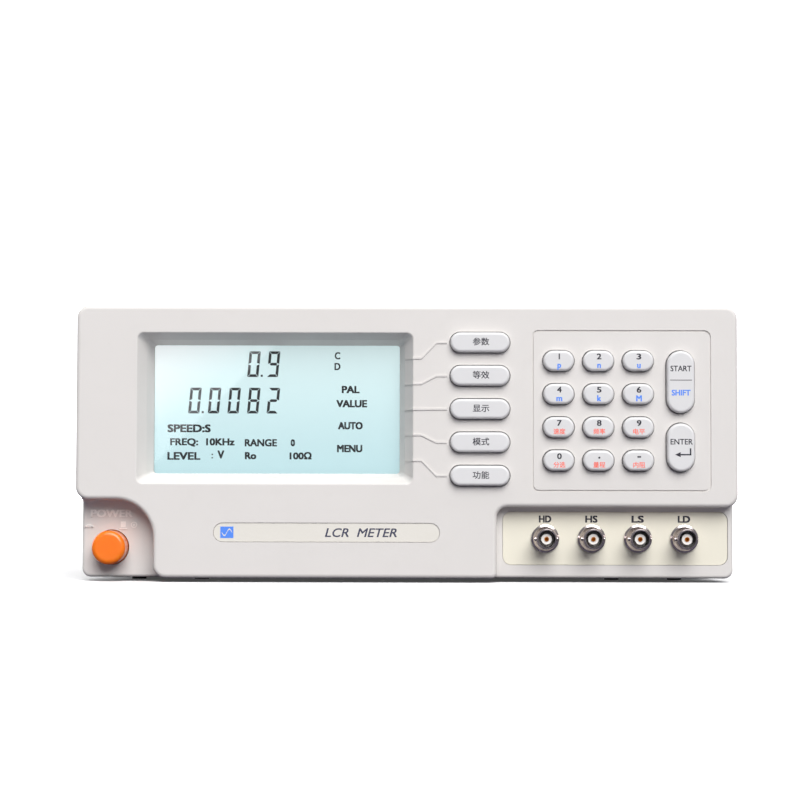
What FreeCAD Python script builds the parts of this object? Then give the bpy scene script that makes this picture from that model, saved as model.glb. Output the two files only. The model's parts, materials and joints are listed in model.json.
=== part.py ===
"""Bench LCR meter: a parametric FreeCAD document written out as one STEP file per piece.

Millimetres.  +X is to the right seen from the front, +Y runs to the rear, +Z is up.
The origin is on the bench, under the middle of the instrument.
Every dimension lives in the spreadsheet "Dims"; the features are bound to its cells.
"""
import FreeCAD
import Part

import math
import os
import re

import Sketcher
from FreeCAD import Vector

NEAR = 0.02  # how close two lengths count as equal when edges are picked
DIGIT_COLUMNS = 3
DIGIT_ROWS = 4
SOFT_KEYS = 5
SCREWS_PER_SIDE = 3
FOOT_CORNERS = ((-1, -1), (1, -1), (-1, 1), (1, 1))
BOARD_PARTS = ((-60, 10, 24, 24), (-10, 20, 16, 28), (30, 10, 12, 20), (-70, -60, 18, 10),
               (-20, -60, 14, 14), (20, -50, 20, 8), (90, 20, 30, 12))  # x, y, width, length
SWITCH_TAGS = ((-5, -3), (0, -3), (5, -3), (-5, 3), (0, 3), (5, 3))
PIECES = []

DIMENSIONS = {
    # overall
    "face_y": (-155.0, "raised front face of the bezel"),
    "rear_y": (148.0, "rear edge of the case"),
    "bench_gap": (2.0, "bench to underside of the bezel"),
    # bezel shell
    "bezel_width": (313.0, "raised part, side to side"),
    "bezel_top": (131.0, "top of the raised part"),
    "bezel_depth": (30.0, "face to rear rim"),
    "rim_step": (1.5, "rim stands in from the raised part at each side"),
    "rim_top_step": (1.0, "rim stands in from the raised part at the top"),
    "wall": (2.5, "moulded wall"),
    "inner_walls_end": (24.0, "face to the rear edge of the inner walls, clear of the case"),
    "raised_depth": (13.0, "thickness of the raised slab"),
    "outer_corner": (6.0, "front-view corner radius"),
    "rim_corner": (4.0, "corner radius of the rim"),
    "edge_round": (2.0, "rounding of the raised front edge"),
    "floor_round": (1.5, "rounding of the stepped-down front edges"),
    # stepped-down power corner
    "power_floor": (13.0, "face to floor of the power corner"),
    "power_right": (-119.7, "right side of the power corner"),
    "power_top": (39.0, "top of the power corner"),
    "power_arc": (18.0, "sweep of the power corner"),
    "power_x": (-140.9, "button centre"),
    "power_z": (16.2, "button centre"),
    "power_diameter": (16.0, "button"),
    "power_hole_gap": (0.4, "button to its hole, radial"),
    "power_proud": (12.0, "button above its floor"),
    "power_edge": (2.2, "rounding of the button"),
    "collar_gap": (0.4, "button collar behind the wall"),
    "collar_thickness": (1.4, "button collar"),
    "collar_reach": (1.0, "button collar wider than the hole, radial"),
    "button_stem": (6.0, "button behind the wall"),
    # stepped-down terminal corner
    "terminal_floor": (8.0, "face to floor of the terminal corner"),
    "terminal_left": (42.6, "left side of the terminal corner"),
    "terminal_top": (35.7, "top of the terminal corner"),
    "terminal_arc": (5.0, "inner corner of the terminal corner"),
    "plate_left": (45.6, "terminal plate"),
    "plate_right": (152.6, "terminal plate"),
    "plate_bottom": (8.2, "terminal plate"),
    "plate_top": (33.7, "terminal plate"),
    "plate_corner": (4.2, "terminal plate"),
    "plate_thickness": (1.6, "terminal plate"),
    "plate_pocket": (2.0, "depth of the pocket that the plate lies in"),
    "plate_ledge": (3.6, "bezel ledge behind the plate's edge"),
    "plate_gap": (0.2, "plate to the side of its pocket"),
    # display
    "display_left": (-127.7, "recess at the face"),
    "display_right": (3.0, "recess at the face"),
    "display_bottom": (46.6, "recess at the face"),
    "display_top": (118.0, "recess at the face"),
    "display_corner": (3.0, "recess at the face"),
    "display_slope_x": (6.35, "run of the side walls"),
    "display_slope_z": (4.85, "run of the top and bottom walls"),
    "display_depth": (15.0, "face to the window"),
    "display_inner_corner": (1.5, "recess at the window"),
    "display_knee": (7.0, "depth where the side walls steepen"),
    "display_knee_x": (3.9, "run of the side walls at the knee"),
    "display_knee_z": (2.9, "run of the top and bottom walls at the knee"),
    "display_knee_corner": (2.2, "recess at the knee"),
    "display_rim": (0.8, "rounding of the recess edge"),
    "window_lap": (2.4, "window behind the recess on every side"),
    "window_thickness": (1.5, "clear window"),
    "fit_gap": (0.2, "easy fit between parts laid in one another"),
    "clear_cut": (1.0, "extra length of a cut that goes right through"),
    "block_corner": (1.0, "corner of a small moulded block"),
    "flange_corner": (2.0, "corner of a flange or a board"),
    # leader ridges from the display to the soft keys
    "ridge_width": (0.9, "leader ridge"),
    "ridge_height": (0.4, "leader ridge above the face"),
    "ridge_start": (-1.0, "on the recess wall"),
    "ridge_bend": (7.0, "first bend"),
    "ridge_level": (14.0, "second bend"),
    "ridge_end": (19.0, "beside the soft key"),
    "ridge_pitch": (12.1, "at the display"),
    "ridge_middle": (81.9, "height of the middle ridge"),
    # keys
    "soft_x": (34.6, "soft key centres"),
    "soft_middle": (82.0, "height of the middle soft key"),
    "soft_pitch": (15.73, "soft keys"),
    "soft_width": (28.0, "soft key"),
    "soft_height": (9.4, "soft key"),
    "digit_x": (71.7, "first column of digit keys"),
    "digit_top": (104.8, "first row of digit keys"),
    "digit_pitch_x": (18.75, "digit keys"),
    "digit_pitch_z": (15.68, "digit keys"),
    "digit_width": (14.5, "digit key"),
    "digit_height": (9.6, "digit key"),
    "action_x": (129.2, "start and enter key centres"),
    "action_width": (13.0, "start and enter key"),
    "start_z": (94.9, "start key centre"),
    "start_height": (29.3, "start key"),
    "enter_z": (64.0, "enter key centre"),
    "enter_height": (22.7, "enter key"),
    "key_proud": (3.4, "key top above the face"),
    "key_gap": (0.5, "key to its aperture"),
    "key_lip": (1.0, "retaining lip wider than the aperture"),
    "key_lip_front": (2.8, "face to the front of the lip"),
    "key_back": (4.2, "face to the back of the key"),
    "key_round": (1.3, "rounding of the key top"),
    "field_left": (59.1, "keypad groove"),
    "field_right": (143.8, "keypad groove"),
    "field_bottom": (43.0, "keypad groove"),
    "field_top": (119.5, "keypad groove"),
    "field_corner": (3.3, "keypad groove"),
    "groove_width": (0.9, "keypad groove"),
    "groove_depth": (0.6, "keypad groove"),
    # nameplate
    "name_x": (-37.7, "nameplate centre"),
    "name_z": (23.6, "nameplate centre"),
    "name_width": (107.0, "nameplate recess"),
    "name_height": (9.2, "nameplate recess"),
    "name_recess": (0.9, "depth of the recess"),
    "name_thickness": (0.6, "inlay"),
    "name_gap": (0.25, "inlay to recess"),
    # screw bosses inside the bezel
    "boss_diameter": (8.0, "case screw boss"),
    "boss_hole": (2.6, "hole for a self-tapping screw"),
    "boss_end": (22.0, "face to the end of a case screw boss"),
    "boss_x": (146.0, "upper bosses"),
    "boss_top": (121.0, "upper bosses"),
    "boss_low_left": (-110.0, "lower left boss"),
    "boss_low_right": (34.0, "lower right boss"),
    "boss_low": (11.5, "lower bosses"),
    "post_diameter": (6.0, "keypad board post"),
    "post_hole": (2.0, "hole in a keypad board post"),
    "post_left": (56.5, "keypad board posts"),
    "post_right": (149.0, "keypad board posts"),
    "post_low": (47.5, "keypad board posts"),
    "post_high": (111.5, "keypad board posts"),
    "hole_floor": (1.0, "solid left in front of a screw's pilot hole"),
    # display stack behind the window
    "glass_thickness": (2.8, "LCD glass"),
    "glass_inset": (1.0, "LCD glass inside the window's outline"),
    "frame_thickness": (0.8, "pressed LCD frame"),
    "frame_depth": (7.5, "pressed LCD frame"),
    "board_thickness": (1.6, "circuit boards"),
    # keypad stack
    "mat_front": (5.8, "face to the silicone mat"),
    "mat_thickness": (1.8, "silicone mat"),
    "mat_left": (17.0, "silicone mat"),
    "mat_right": (140.0, "silicone mat"),
    "mat_bottom": (42.5, "silicone mat"),
    "mat_top": (121.0, "silicone mat"),
    "board_margin": (2.0, "keypad board beyond the mat and short of the case boss"),
    # BNC jacks
    "jack_first": (65.9, "first jack"),
    "jack_pitch": (22.0, "four-terminal fixture pitch"),
    "jack_height": (20.8, "jacks above the bench"),
    "jack_reach": (13.4, "jack in front of its plate"),
    "jack_flange": (13.2, "flange diameter"),
    "jack_flange_thickness": (1.7, "flange"),
    "jack_barrel": (9.65, "barrel diameter"),
    "jack_edge": (0.4, "bevel of the barrel's rim"),
    "flange_cone": (1.2, "cone from the barrel to the flange"),
    "flange_bevel": (0.9, "bevel of the flange"),
    "jack_mouth": (8.1, "mouth diameter"),
    "jack_mouth_depth": (9.6, "mouth"),
    "jack_thread": (9.4, "threaded tail diameter"),
    "jack_tail": (12.0, "threaded tail behind the plate face"),
    "lug_diameter": (2.0, "bayonet lug"),
    "lug_span": (11.0, "over both bayonet lugs"),
    "lug_back": (5.6, "mouth rim to the lug centre"),
    "sleeve_diameter": (5.0, "insulator nose"),
    "sleeve_drop": (2.6, "insulator nose behind the mouth rim"),
    "sleeve_washer": (1.0, "insulator on the floor of the mouth"),
    "sleeve_gap": (0.1, "insulator to the shell, radial"),
    "contact_diameter": (2.2, "centre contact"),
    "contact_bore": (1.38, "hole of the centre contact"),
    "contact_drop": (2.2, "centre contact behind the mouth rim"),
    "contact_hole_depth": (5.0, "hole of the centre contact"),
    "contact_tail": (4.0, "contact behind the insulator"),
    "nut_across": (14.0, "nut across flats"),
    "nut_thickness": (2.4, "nut"),
    "nut_gap": (0.05, "nut to the thread, radial"),
    # sheet-metal case
    "case_front": (-130.0, "front edge of tray and cover, inside the bezel"),
    "sheet": (1.2, "sheet steel"),
    "tray_base": (7.0, "underside of the tray"),
    "tray_half_width": (150.4, "outside of the tray flanges"),
    "tray_flange_top": (24.0, "top of the tray flanges"),
    "cover_half_width": (151.9, "outside of the cover"),
    "cover_top": (126.9, "outside of the cover"),
    "cover_bottom": (8.6, "lower edge of the cover"),
    "sheet_bend": (2.6, "outer bend radius"),
    "vent_width": (2.6, "vent slot"),
    "vent_height": (30.0, "vent slot"),
    "vent_pitch": (7.0, "vent slots"),
    "vent_count": (14.0, "vent slots in a row"),
    "vent_first": (20.0, "first vent slot"),
    "vent_low": (62.0, "bottom of the vent slots"),
    "floor_vent_count": (9.0, "vent slots in the tray"),
    "screw_head": (6.0, "pan head"),
    "screw_head_height": (1.9, "pan head"),
    "screw_shank": (2.9, "case screw"),
    "screw_length": (7.0, "case screw"),
    "screw_z": (16.0, "case screws above the bench"),
    "screw_first": (-105.0, "first case screw"),
    "screw_pitch": (105.0, "case screws"),
    # feet
    "foot_x": (116.0, "feet from the middle"),
    "foot_width": (40.0, "front foot"),
    "foot_front": (-118.0, "front foot"),
    "foot_length": (52.0, "front foot"),
    "foot_base": (1.2, "underside of a foot"),
    "foot_corner": (4.0, "front foot"),
    "well_width": (23.0, "well for the tilt leg"),
    "well_front": (4.0, "front of the foot to the well"),
    "well_length": (44.5, "well for the tilt leg"),
    "well_roof": (5.9, "roof of the well above the bench"),
    "hinge_y": (7.4, "front of the foot to the hinge pin"),
    "hinge_z": (3.5, "hinge pin above the bench"),
    "pin_diameter": (1.8, "hinge pin"),
    "pin_gap": (0.05, "hinge pin to the leg, radial"),
    "pin_seat": (3.0, "hinge pin in each side of the foot"),
    "leg_width": (21.6, "tilt leg"),
    "leg_length": (36.0, "hinge pin to the tip of the leg"),
    "leg_thickness": (3.4, "tilt leg"),
    "leg_knuckle": (4.2, "rounded hinge end of the leg"),
    "leg_tip": (1.0, "rounding of the leg's tip"),
    "knuckle_flat": (0.2, "flat left between the roundings of the hinge end"),
    "pad_diameter": (7.0, "rubber pad"),
    "pad_inset": (4.6, "pads from the edge of a front foot"),
    "rear_foot_y": (112.0, "rear feet"),
    "rear_foot_diameter": (24.0, "rear foot at the tray"),
    "rear_foot_taper": (2.0, "rear foot smaller at the bench, radial"),
    "rear_pad_diameter": (15.0, "rubber pad of a rear foot"),
    # rear panel and what it carries
    "panel_y": (146.5, "outer face of the rear panel"),
    "panel_half_width": (149.0, "rear panel"),
    "panel_bottom": (8.4, "rear panel"),
    "panel_top": (125.3, "rear panel"),
    "panel_corner": (2.0, "rear panel"),
    "inlet_x": (-108.0, "mains inlet centre"),
    "inlet_z": (44.0, "middle of the socket"),
    "inlet_width": (27.4, "inlet body"),
    "inlet_flange": (3.6, "flange beyond the inlet body"),
    "inlet_flange_thickness": (2.5, "flange"),
    "inlet_depth": (26.0, "inlet body behind the panel"),
    "inlet_above": (10.6, "inlet body above the socket's middle"),
    "inlet_below": (21.4, "inlet body below the socket's middle"),
    "socket_width": (24.2, "appliance inlet socket"),
    "socket_height": (16.4, "appliance inlet socket"),
    "socket_depth": (16.5, "appliance inlet socket"),
    "socket_chamfer": (4.2, "two corners of the socket"),
    "blade_width": (2.0, "inlet pin"),
    "blade_height": (4.0, "inlet pin"),
    "blade_length": (10.5, "inlet pin"),
    "blade_pitch": (7.0, "outer pins from the middle"),
    "blade_offset": (2.0, "middle pin above, outer pins below the middle"),
    "drawer_drop": (15.2, "drawer centre below the socket's middle"),
    "drawer_width": (22.0, "fuse drawer"),
    "drawer_height": (7.0, "fuse drawer"),
    "drawer_depth": (20.0, "fuse drawer"),
    "drawer_gap": (0.2, "fuse drawer to its well"),
    "drawer_lip": (1.8, "front plate beyond the drawer"),
    "drawer_plate": (1.8, "front plate of the drawer"),
    "fuse_diameter": (5.2, "fuse"),
    "fuse_length": (20.0, "fuse"),
    "serial_x": (18.0, "serial connector centre"),
    "handler_x": (78.0, "handler connector centre"),
    "port_z": (44.0, "connectors above the bench"),
    "port_plate": (1.2, "connector flange"),
    "port_depth": (8.0, "connector body behind the panel"),
    "port_body": (10.4, "height of a connector body"),
    "port_flange": (12.6, "height of a connector flange"),
    "port_nose": (8.4, "height of a connector nose"),
    "port_reach": (5.6, "connector nose"),
    "port_corner": (1.5, "connector flange"),
    "serial_body": (19.0, "serial connector"),
    "serial_flange": (31.0, "serial connector"),
    "serial_nose": (16.6, "serial connector"),
    "handler_body": (55.0, "handler connector"),
    "handler_flange": (67.0, "handler connector"),
    "handler_nose": (52.0, "handler connector"),
    "earth_x": (112.0, "earth terminal"),
    "earth_z": (24.0, "earth terminal"),
    "earth_shank": (4.0, "earth terminal"),
    "earth_knob": (10.0, "earth terminal"),
    "earth_tail": (8.0, "stud behind the panel"),
    "earth_length": (10.0, "knob"),
    "earth_neck": (2.0, "neck between the panel and the knob"),
    "earth_bevel": (1.0, "bevels of the knob"),
    "guard_x": (136.0, "rear guards from the middle"),
    "guard_low": (24.0, "lower rear guards"),
    "guard_high": (110.0, "upper rear guards"),
    "guard_length": (13.5, "rear guards"),
    "guard_root": (18.0, "rear guard at the panel"),
    "guard_tip": (13.0, "rear guard at its tip"),
    # inside
    "rod_diameter": (4.8, "push rod"),
    "rod_socket": (5.0, "depth of the rod's seat in the button"),
    "switch_y": (55.0, "front of the mains switch"),
    "switch_size": (16.0, "mains switch across"),
    "switch_length": (34.0, "mains switch"),
    "switch_throat": (6.2, "throat for the push rod"),
    "switch_throat_depth": (16.0, "throat for the push rod"),
    "tag_width": (0.8, "solder tag"),
    "tag_height": (2.4, "solder tag"),
    "tag_length": (4.0, "solder tag"),
    "rod_gap": (0.1, "push rod to its seat in the button, radial"),
    "rod_end_y": (63.0, "rear end of the push rod"),
    "standoff_height": (9.0, "board above the tray"),
    "standoff_diameter": (6.0, "board stand-off"),
    "main_left": (-118.0, "main board"),
    "main_right": (140.0, "main board"),
    "main_front": (-108.0, "main board"),
    "main_back": (66.0, "main board"),
    "main_inset": (8.0, "stand-offs from the board's edge"),
    "board_part_height": (3.0, "parts on the board"),
    "can_left": (50.0, "screening can"),
    "can_right": (138.0, "screening can"),
    "can_front": (-100.0, "screening can"),
    "can_back": (-48.0, "screening can"),
    "can_height": (16.0, "screening can"),
    "can_sheet": (0.6, "screening can"),
    "can_corner": (1.5, "screening can"),
    "core_x": (-70.0, "transformer centre"),
    "core_y": (106.0, "transformer centre"),
    "core_width": (60.0, "transformer lamination"),
    "core_height": (50.0, "transformer lamination"),
    "core_stack": (24.0, "transformer lamination stack"),
    "core_limb": (10.0, "outer limb of the lamination"),
    "winding_stack": (42.0, "winding, front to back"),
    "winding_corner": (3.0, "winding"),
    "former_corner": (0.5, "inside of the winding"),
}


document = FreeCAD.newDocument("lcr_meter")


def fill_sheet():
    """Write every dimension with its name and its meaning into the spreadsheet."""
    sheet = document.addObject("Spreadsheet::Sheet", "Dims")
    for row, (name, (value, meaning)) in enumerate(DIMENSIONS.items(), start=1):
        sheet.set(f"A{row}", name)
        sheet.set(f"B{row}", str(value))
        sheet.setAlias(f"B{row}", name)
        sheet.set(f"C{row}", meaning)
    document.recompute()
    return sheet


SHEET = fill_sheet()


def cells(formula):
    """The formula with each dimension's name pointed at its cell of the sheet."""
    def cell(word):
        return f"Dims.{word.group()}" if word.group() in DIMENSIONS else word.group()

    return re.sub(r"[a-z_]+", cell, formula)


def size(formula):
    """The present value of a formula, in millimetres."""
    return float(SHEET.evalExpression(cells(formula)))


def bind(feature, **properties):
    """Tie properties to formulas; a double underscore stands for a dot."""
    for path, formula in properties.items():
        feature.setExpression(path.replace("__", "."), cells(formula))


def place(piece, x="0", y="0", z="0"):
    """Put a piece in the instrument's frame."""
    bind(piece, Placement__Base__x=x, Placement__Base__y=y, Placement__Base__z=z)


def new_body(name):
    """A PartDesign body whose label is the name of its piece."""
    body = document.addObject("PartDesign::Body", name)
    body.Label = name
    return body


class Drawing:
    """A sketch on one of a body's own origin planes, dimensioned from the sheet.

    On the front plane the drawing's axes are X and Z; "at" is the plane's Y.
    On the plan plane they are X and Y; "at" is the plane's Z.
    """

    def __init__(self, body, name, plane="XZ_Plane", at="0"):
        self.body = body
        self.sketch = body.newObject("Sketcher::SketchObject", name)
        support = next(f for f in body.Origin.OriginFeatures if f.Role == plane)
        self.sketch.AttachmentSupport = (support, [""])
        self.sketch.MapMode = "FlatFace"
        offset = f"-({at})" if plane == "XZ_Plane" else at
        bind(self.sketch, AttachmentOffset__Base__z=offset)

    def constrain(self, kind, *arguments):
        return self.sketch.addConstraint(Sketcher.Constraint(kind, *arguments))

    def dimension(self, kind, geometry, formula):
        """A driving dimension that reads its value from the sheet."""
        index = self.constrain(kind, *geometry, size(formula))
        self.sketch.setExpression(f"Constraints[{index}]", cells(formula))

    def pin(self, geometry, end, x, z):
        """Dimension one end of an element from the drawing's origin."""
        self.dimension("DistanceX", (-1, 1, geometry, end), x)
        self.dimension("DistanceY", (-1, 1, geometry, end), z)

    def line(self, start, finish):
        return self.sketch.addGeometry(Part.LineSegment(start, finish))

    def arc(self, centre, start, finish):
        """An arc about a centre, anticlockwise from one point to another."""
        begin, end = (
            math.atan2(point.y - centre.y, point.x - centre.x) for point in (start, finish)
        )
        circle = Part.Circle(centre, Vector(0, 0, 1), (start - centre).Length)
        return self.sketch.addGeometry(Part.ArcOfCircle(circle, begin, end))

    def polygon(self, points):
        """A closed outline of straight sides through points given as formulas."""
        corners = [Vector(size(x), size(z), 0) for x, z in points]
        sides = [self.line(a, b) for a, b in zip(corners, corners[1:] + corners[:1])]
        for side, following in zip(sides, sides[1:] + sides[:1]):
            self.constrain("Coincident", side, 2, following, 1)
        for side, (x, z) in zip(sides, points):
            self.pin(side, 1, x, z)

    def box(self, left, right, bottom, top):
        self.polygon([(left, bottom), (right, bottom), (right, top), (left, top)])

    def outline(self, corners):
        """A closed outline of level and upright sides, each corner with its own radius."""
        spots = [Vector(size(x), size(z), 0) for x, z, _ in corners]
        radii = [size(radius) for _, _, radius in corners]
        count = len(corners)
        ways = [(spots[(i + 1) % count] - spots[i]).normalize() for i in range(count)]
        sides = []
        for i, (x, z, _) in enumerate(corners):
            following = (i + 1) % count
            side = self.line(spots[i] + ways[i] * radii[i],
                             spots[following] - ways[i] * radii[following])
            level = abs(ways[i].y) < NEAR
            self.constrain("Horizontal" if level else "Vertical", side)
            self.dimension("DistanceY" if level else "DistanceX", (-1, 1, side, 1),
                           z if level else x)
            sides.append(side)
        for i, radius in enumerate(radii):
            before, after = sides[i - 1], sides[i]
            if radius == 0:
                self.constrain("Coincident", before, 2, after, 1)
                continue
            start = spots[i] - ways[i - 1] * radius
            finish = spots[i] + ways[i] * radius
            centre = start + ways[i] * radius
            turns_left = ways[i - 1].cross(ways[i]).z > 0
            if turns_left:
                corner = self.arc(centre, start, finish)
            else:
                corner = self.arc(centre, finish, start)
            self.constrain("Tangent", before, 2, corner, 1 if turns_left else 2)
            self.constrain("Tangent", corner, 2 if turns_left else 1, after, 1)
            self.dimension("Radius", (corner,), corners[i][2])

    def rounded_box(self, left, right, bottom, top, radius):
        """A rectangle with four equal corner arcs."""
        self.outline([(left, bottom, radius), (right, bottom, radius),
                      (right, top, radius), (left, top, radius)])

    def stadium(self, x, z, width, height):
        """Two half circles joined by two sides; the longer way decides which."""
        lying = size(width) > size(height)
        across = Vector(1, 0, 0) if lying else Vector(0, 1, 0)
        upward = Vector(0, 0, 1).cross(across)
        radius = min(size(width), size(height)) / 2
        middle = Vector(size(x), size(z), 0)
        far = middle + across * abs(size(width) - size(height)) / 2
        near = middle * 2 - far
        rise = upward * radius
        a_side = self.line(near - rise, far - rise)
        a_end = self.arc(far, far - rise, far + rise)
        b_side = self.line(far + rise, near + rise)
        b_end = self.arc(near, near + rise, near - rise)
        ring = [a_side, a_end, b_side, b_end]
        for element, following in zip(ring, ring[1:] + ring[:1]):
            self.constrain("Tangent", element, 2, following, 1)
        self.constrain("Horizontal" if lying else "Vertical", a_side)
        short = height if lying else width
        over = f"(({width}) - ({height})) / 2" if lying else f"(({height}) - ({width})) / 2"
        self.dimension("Radius", (a_end,), f"({short}) / 2")
        if lying:
            self.pin(a_end, 3, f"{x} + {over}", z)
            self.dimension("DistanceX", (-1, 1, b_end, 3), f"{x} - {over}")
        else:
            self.pin(a_end, 3, x, f"{z} + {over}")
            self.dimension("DistanceY", (-1, 1, b_end, 3), f"{z} - {over}")

    def circle(self, x, z, radius):
        ring = self.sketch.addGeometry(
            Part.Circle(Vector(size(x), size(z), 0), Vector(0, 0, 1), size(radius))
        )
        self.dimension("Radius", (ring,), radius)
        self.pin(ring, 3, x, z)

    def hexagon(self, across_flats):
        """A regular hexagon about the origin, one corner on the first axis."""
        corner = f"({across_flats}) / sqrt(3)"
        half = f"({across_flats}) / 2"
        self.polygon([
            (corner, "0"), (f"{corner} / 2", half), (f"-{corner} / 2", half),
            (f"-{corner}", "0"), (f"-{corner} / 2", f"-{half}"), (f"{corner} / 2", f"-{half}"),
        ])

    def feature(self, kind, name, **properties):
        """Add a feature that uses this drawing and make it the body's tip."""
        feature = self.body.newObject("PartDesign::" + kind, name)
        feature.Profile = self.sketch
        bind(feature, **properties)
        self.body.Tip = feature
        self.sketch.Visibility = False
        return feature

    def pad(self, name, length, reverse=True):
        """Material from the plane: to the rear on the front plane unless told otherwise."""
        feature = self.feature("Pad", name, Length=length)
        feature.Reversed = reverse
        return feature

    def pocket(self, name, length, reverse=False):
        """A cut from the plane: to the rear on the front plane unless told otherwise."""
        feature = self.feature("Pocket", name, Length=length)
        feature.Reversed = reverse
        return feature

    def revolve(self, name):
        """A full turn about the drawing's second axis."""
        feature = self.feature("Revolution", name)
        feature.ReferenceAxis = (self.sketch, ["V_Axis"])
        feature.Angle = 360
        return feature


def repeat(body, feature, name, axis, count, pitch):
    """The feature repeated along one of the body's own axes."""
    pattern = body.newObject("PartDesign::LinearPattern", name)
    pattern.Originals = [feature]
    direction = next(f for f in body.Origin.OriginFeatures if f.Role == axis + "_Axis")
    pattern.Direction = (direction, [""])
    pattern.Mode = "Spacing"
    bind(pattern, Offset=pitch, Occurrences=count)
    body.Tip = pattern
    return pattern


def edges_where(body, test):
    """Names of the edges of a body's present shape that pass a test."""
    document.recompute()
    return [
        f"Edge{number}"
        for number, edge in enumerate(body.Tip.Shape.Edges, start=1)
        if test(edge)
    ]


def lies_in(edge, axis, level):
    """Whether an edge lies in the plane at a level of an axis."""
    box = edge.BoundBox
    low = getattr(box, axis.upper() + "Min")
    high = getattr(box, axis.upper() + "Max")
    return abs(low - level) < NEAR and abs(high - level) < NEAR


def round_edges(body, name, radius, test):
    """Fillet the edges that pass a test."""
    names = edges_where(body, test)
    if not names:
        raise RuntimeError(f"{name}: no edge to round")
    base = body.Tip
    fillet = body.newObject("PartDesign::Fillet", name)
    fillet.Base = (base, names)
    bind(fillet, Radius=radius)
    body.Tip = fillet
    return fillet


def primitive(kind, name, **properties):
    """A Part primitive bound to the sheet."""
    solid = document.addObject("Part::" + kind, name)
    bind(solid, **properties)
    return solid


def copies(name, source, places):
    """One node that holds the same solid at several places."""
    links = []
    for number, (x, y, z) in enumerate(places, start=1):
        link = document.addObject("App::Link", f"{name}_copy_{number}")
        link.LinkedObject = source
        place(link, x, y, z)
        links.append(link)
    return gather(name, links)


def gather(name, members):
    """One node made of several separate solids."""
    group = document.addObject("Part::Compound", name)
    group.Label = name
    group.Links = members
    PIECES.append(group)
    return group


def finish(body, x="0", y="0", z="0"):
    """Place a finished piece and list it for export."""
    place(body, x, y, z)
    PIECES.append(body)
    return body


# ---------------------------------------------------------------- front bezel


def soften_floors(bezel):
    """Round the outer front edges of the rim block and of the floor cut into it."""
    bench = size("bench_gap")
    half = size("bezel_width / 2 - rim_step")
    levels = (size("power_floor"), size("terminal_floor"))

    def on_rim(edge):
        box = edge.BoundBox
        outside = (
            abs(box.ZMin - bench) < NEAR or abs(box.XMax - half) < NEAR or abs(box.XMin + half) < NEAR
        )
        return outside and any(lies_in(edge, "y", level) for level in levels)

    round_edges(bezel, "floor_rounding", "floor_round", on_rim)


def bezel_slab(bezel):
    """The rim block and, in front of it, the raised slab with its two stepped-down corners."""
    half = "bezel_width / 2"
    rim = Drawing(bezel, "rim_outline", at="terminal_floor")
    rim.rounded_box(f"rim_step - {half}", f"{half} - rim_step",
                    "bench_gap", "bezel_top - rim_top_step", "rim_corner")
    rim.pad("rim_block", "bezel_depth - terminal_floor")

    floor = Drawing(bezel, "power_floor_outline", at="terminal_floor")
    floor.outline([
        ("-bezel_width", "-bench_gap", "0"), ("power_right + outer_corner", "-bench_gap", "0"),
        ("power_right + outer_corner", "bench_gap + outer_corner", "0"),
        ("power_right", "bench_gap + outer_corner", "0"), ("power_right", "power_top", "power_arc"),
        ("-bezel_width", "power_top", "0"),
    ])
    floor.pocket("power_floor_cut", "power_floor - terminal_floor")
    soften_floors(bezel)

    raised = Drawing(bezel, "raised_outline")
    raised.outline([
        (f"-{half}", "bezel_top", "outer_corner"), (f"-{half}", "power_top", "outer_corner"),
        ("power_right", "power_top", "power_arc"), ("power_right", "bench_gap", "outer_corner"),
        ("terminal_left", "bench_gap", "wall"), ("terminal_left", "terminal_top", "terminal_arc"),
        (half, "terminal_top", "outer_corner"), (half, "bezel_top", "outer_corner"),
    ])
    raised.pad("raised_slab", "raised_depth")
    round_edges(bezel, "face_rounding", "edge_round", lambda edge: lies_in(edge, "y", 0))


def slope(bezel, name, front, back):
    """Cut one stage of the display recess, lofted between two rounded boxes.

    Each stage is given as its depth, how far its walls have come in along X and Z, and its corner.
    """
    outlines = []
    for tag, (depth, run_x, run_z, corner) in (("front", front), ("back", back)):
        outline = Drawing(bezel, f"{name}_{tag}", at=depth)
        outline.rounded_box(f"display_left + {run_x}", f"display_right - {run_x}",
                            f"display_bottom + {run_z}", f"display_top - {run_z}", corner)
        outlines.append(outline.sketch)
    loft = bezel.newObject("PartDesign::SubtractiveLoft", name)
    loft.Profile = outlines[0]
    loft.Sections = [outlines[1]]
    loft.Ruled = True
    bezel.Tip = loft


def bezel_display_recess(bezel):
    """The sloping recess: a shallow outer slope, a steeper inner one, a rounded rim."""
    slope(bezel, "outer_slope",
          ("0", "0", "0", "display_corner"),
          ("display_knee", "display_knee_x", "display_knee_z", "display_knee_corner"))
    slope(bezel, "inner_slope",
          ("display_knee", "display_knee_x", "display_knee_z", "display_knee_corner"),
          ("display_depth", "display_slope_x", "display_slope_z", "display_inner_corner"))
    left, right = size("display_left"), size("display_right")
    bottom, top = size("display_bottom"), size("display_top")

    def on_mouth(edge):
        box = edge.BoundBox
        return (
            lies_in(edge, "y", 0)
            and box.XMin > left - NEAR and box.XMax < right + NEAR
            and box.ZMin > bottom - NEAR and box.ZMax < top + NEAR
        )

    round_edges(bezel, "display_rim_rounding", "display_rim", on_mouth)


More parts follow.
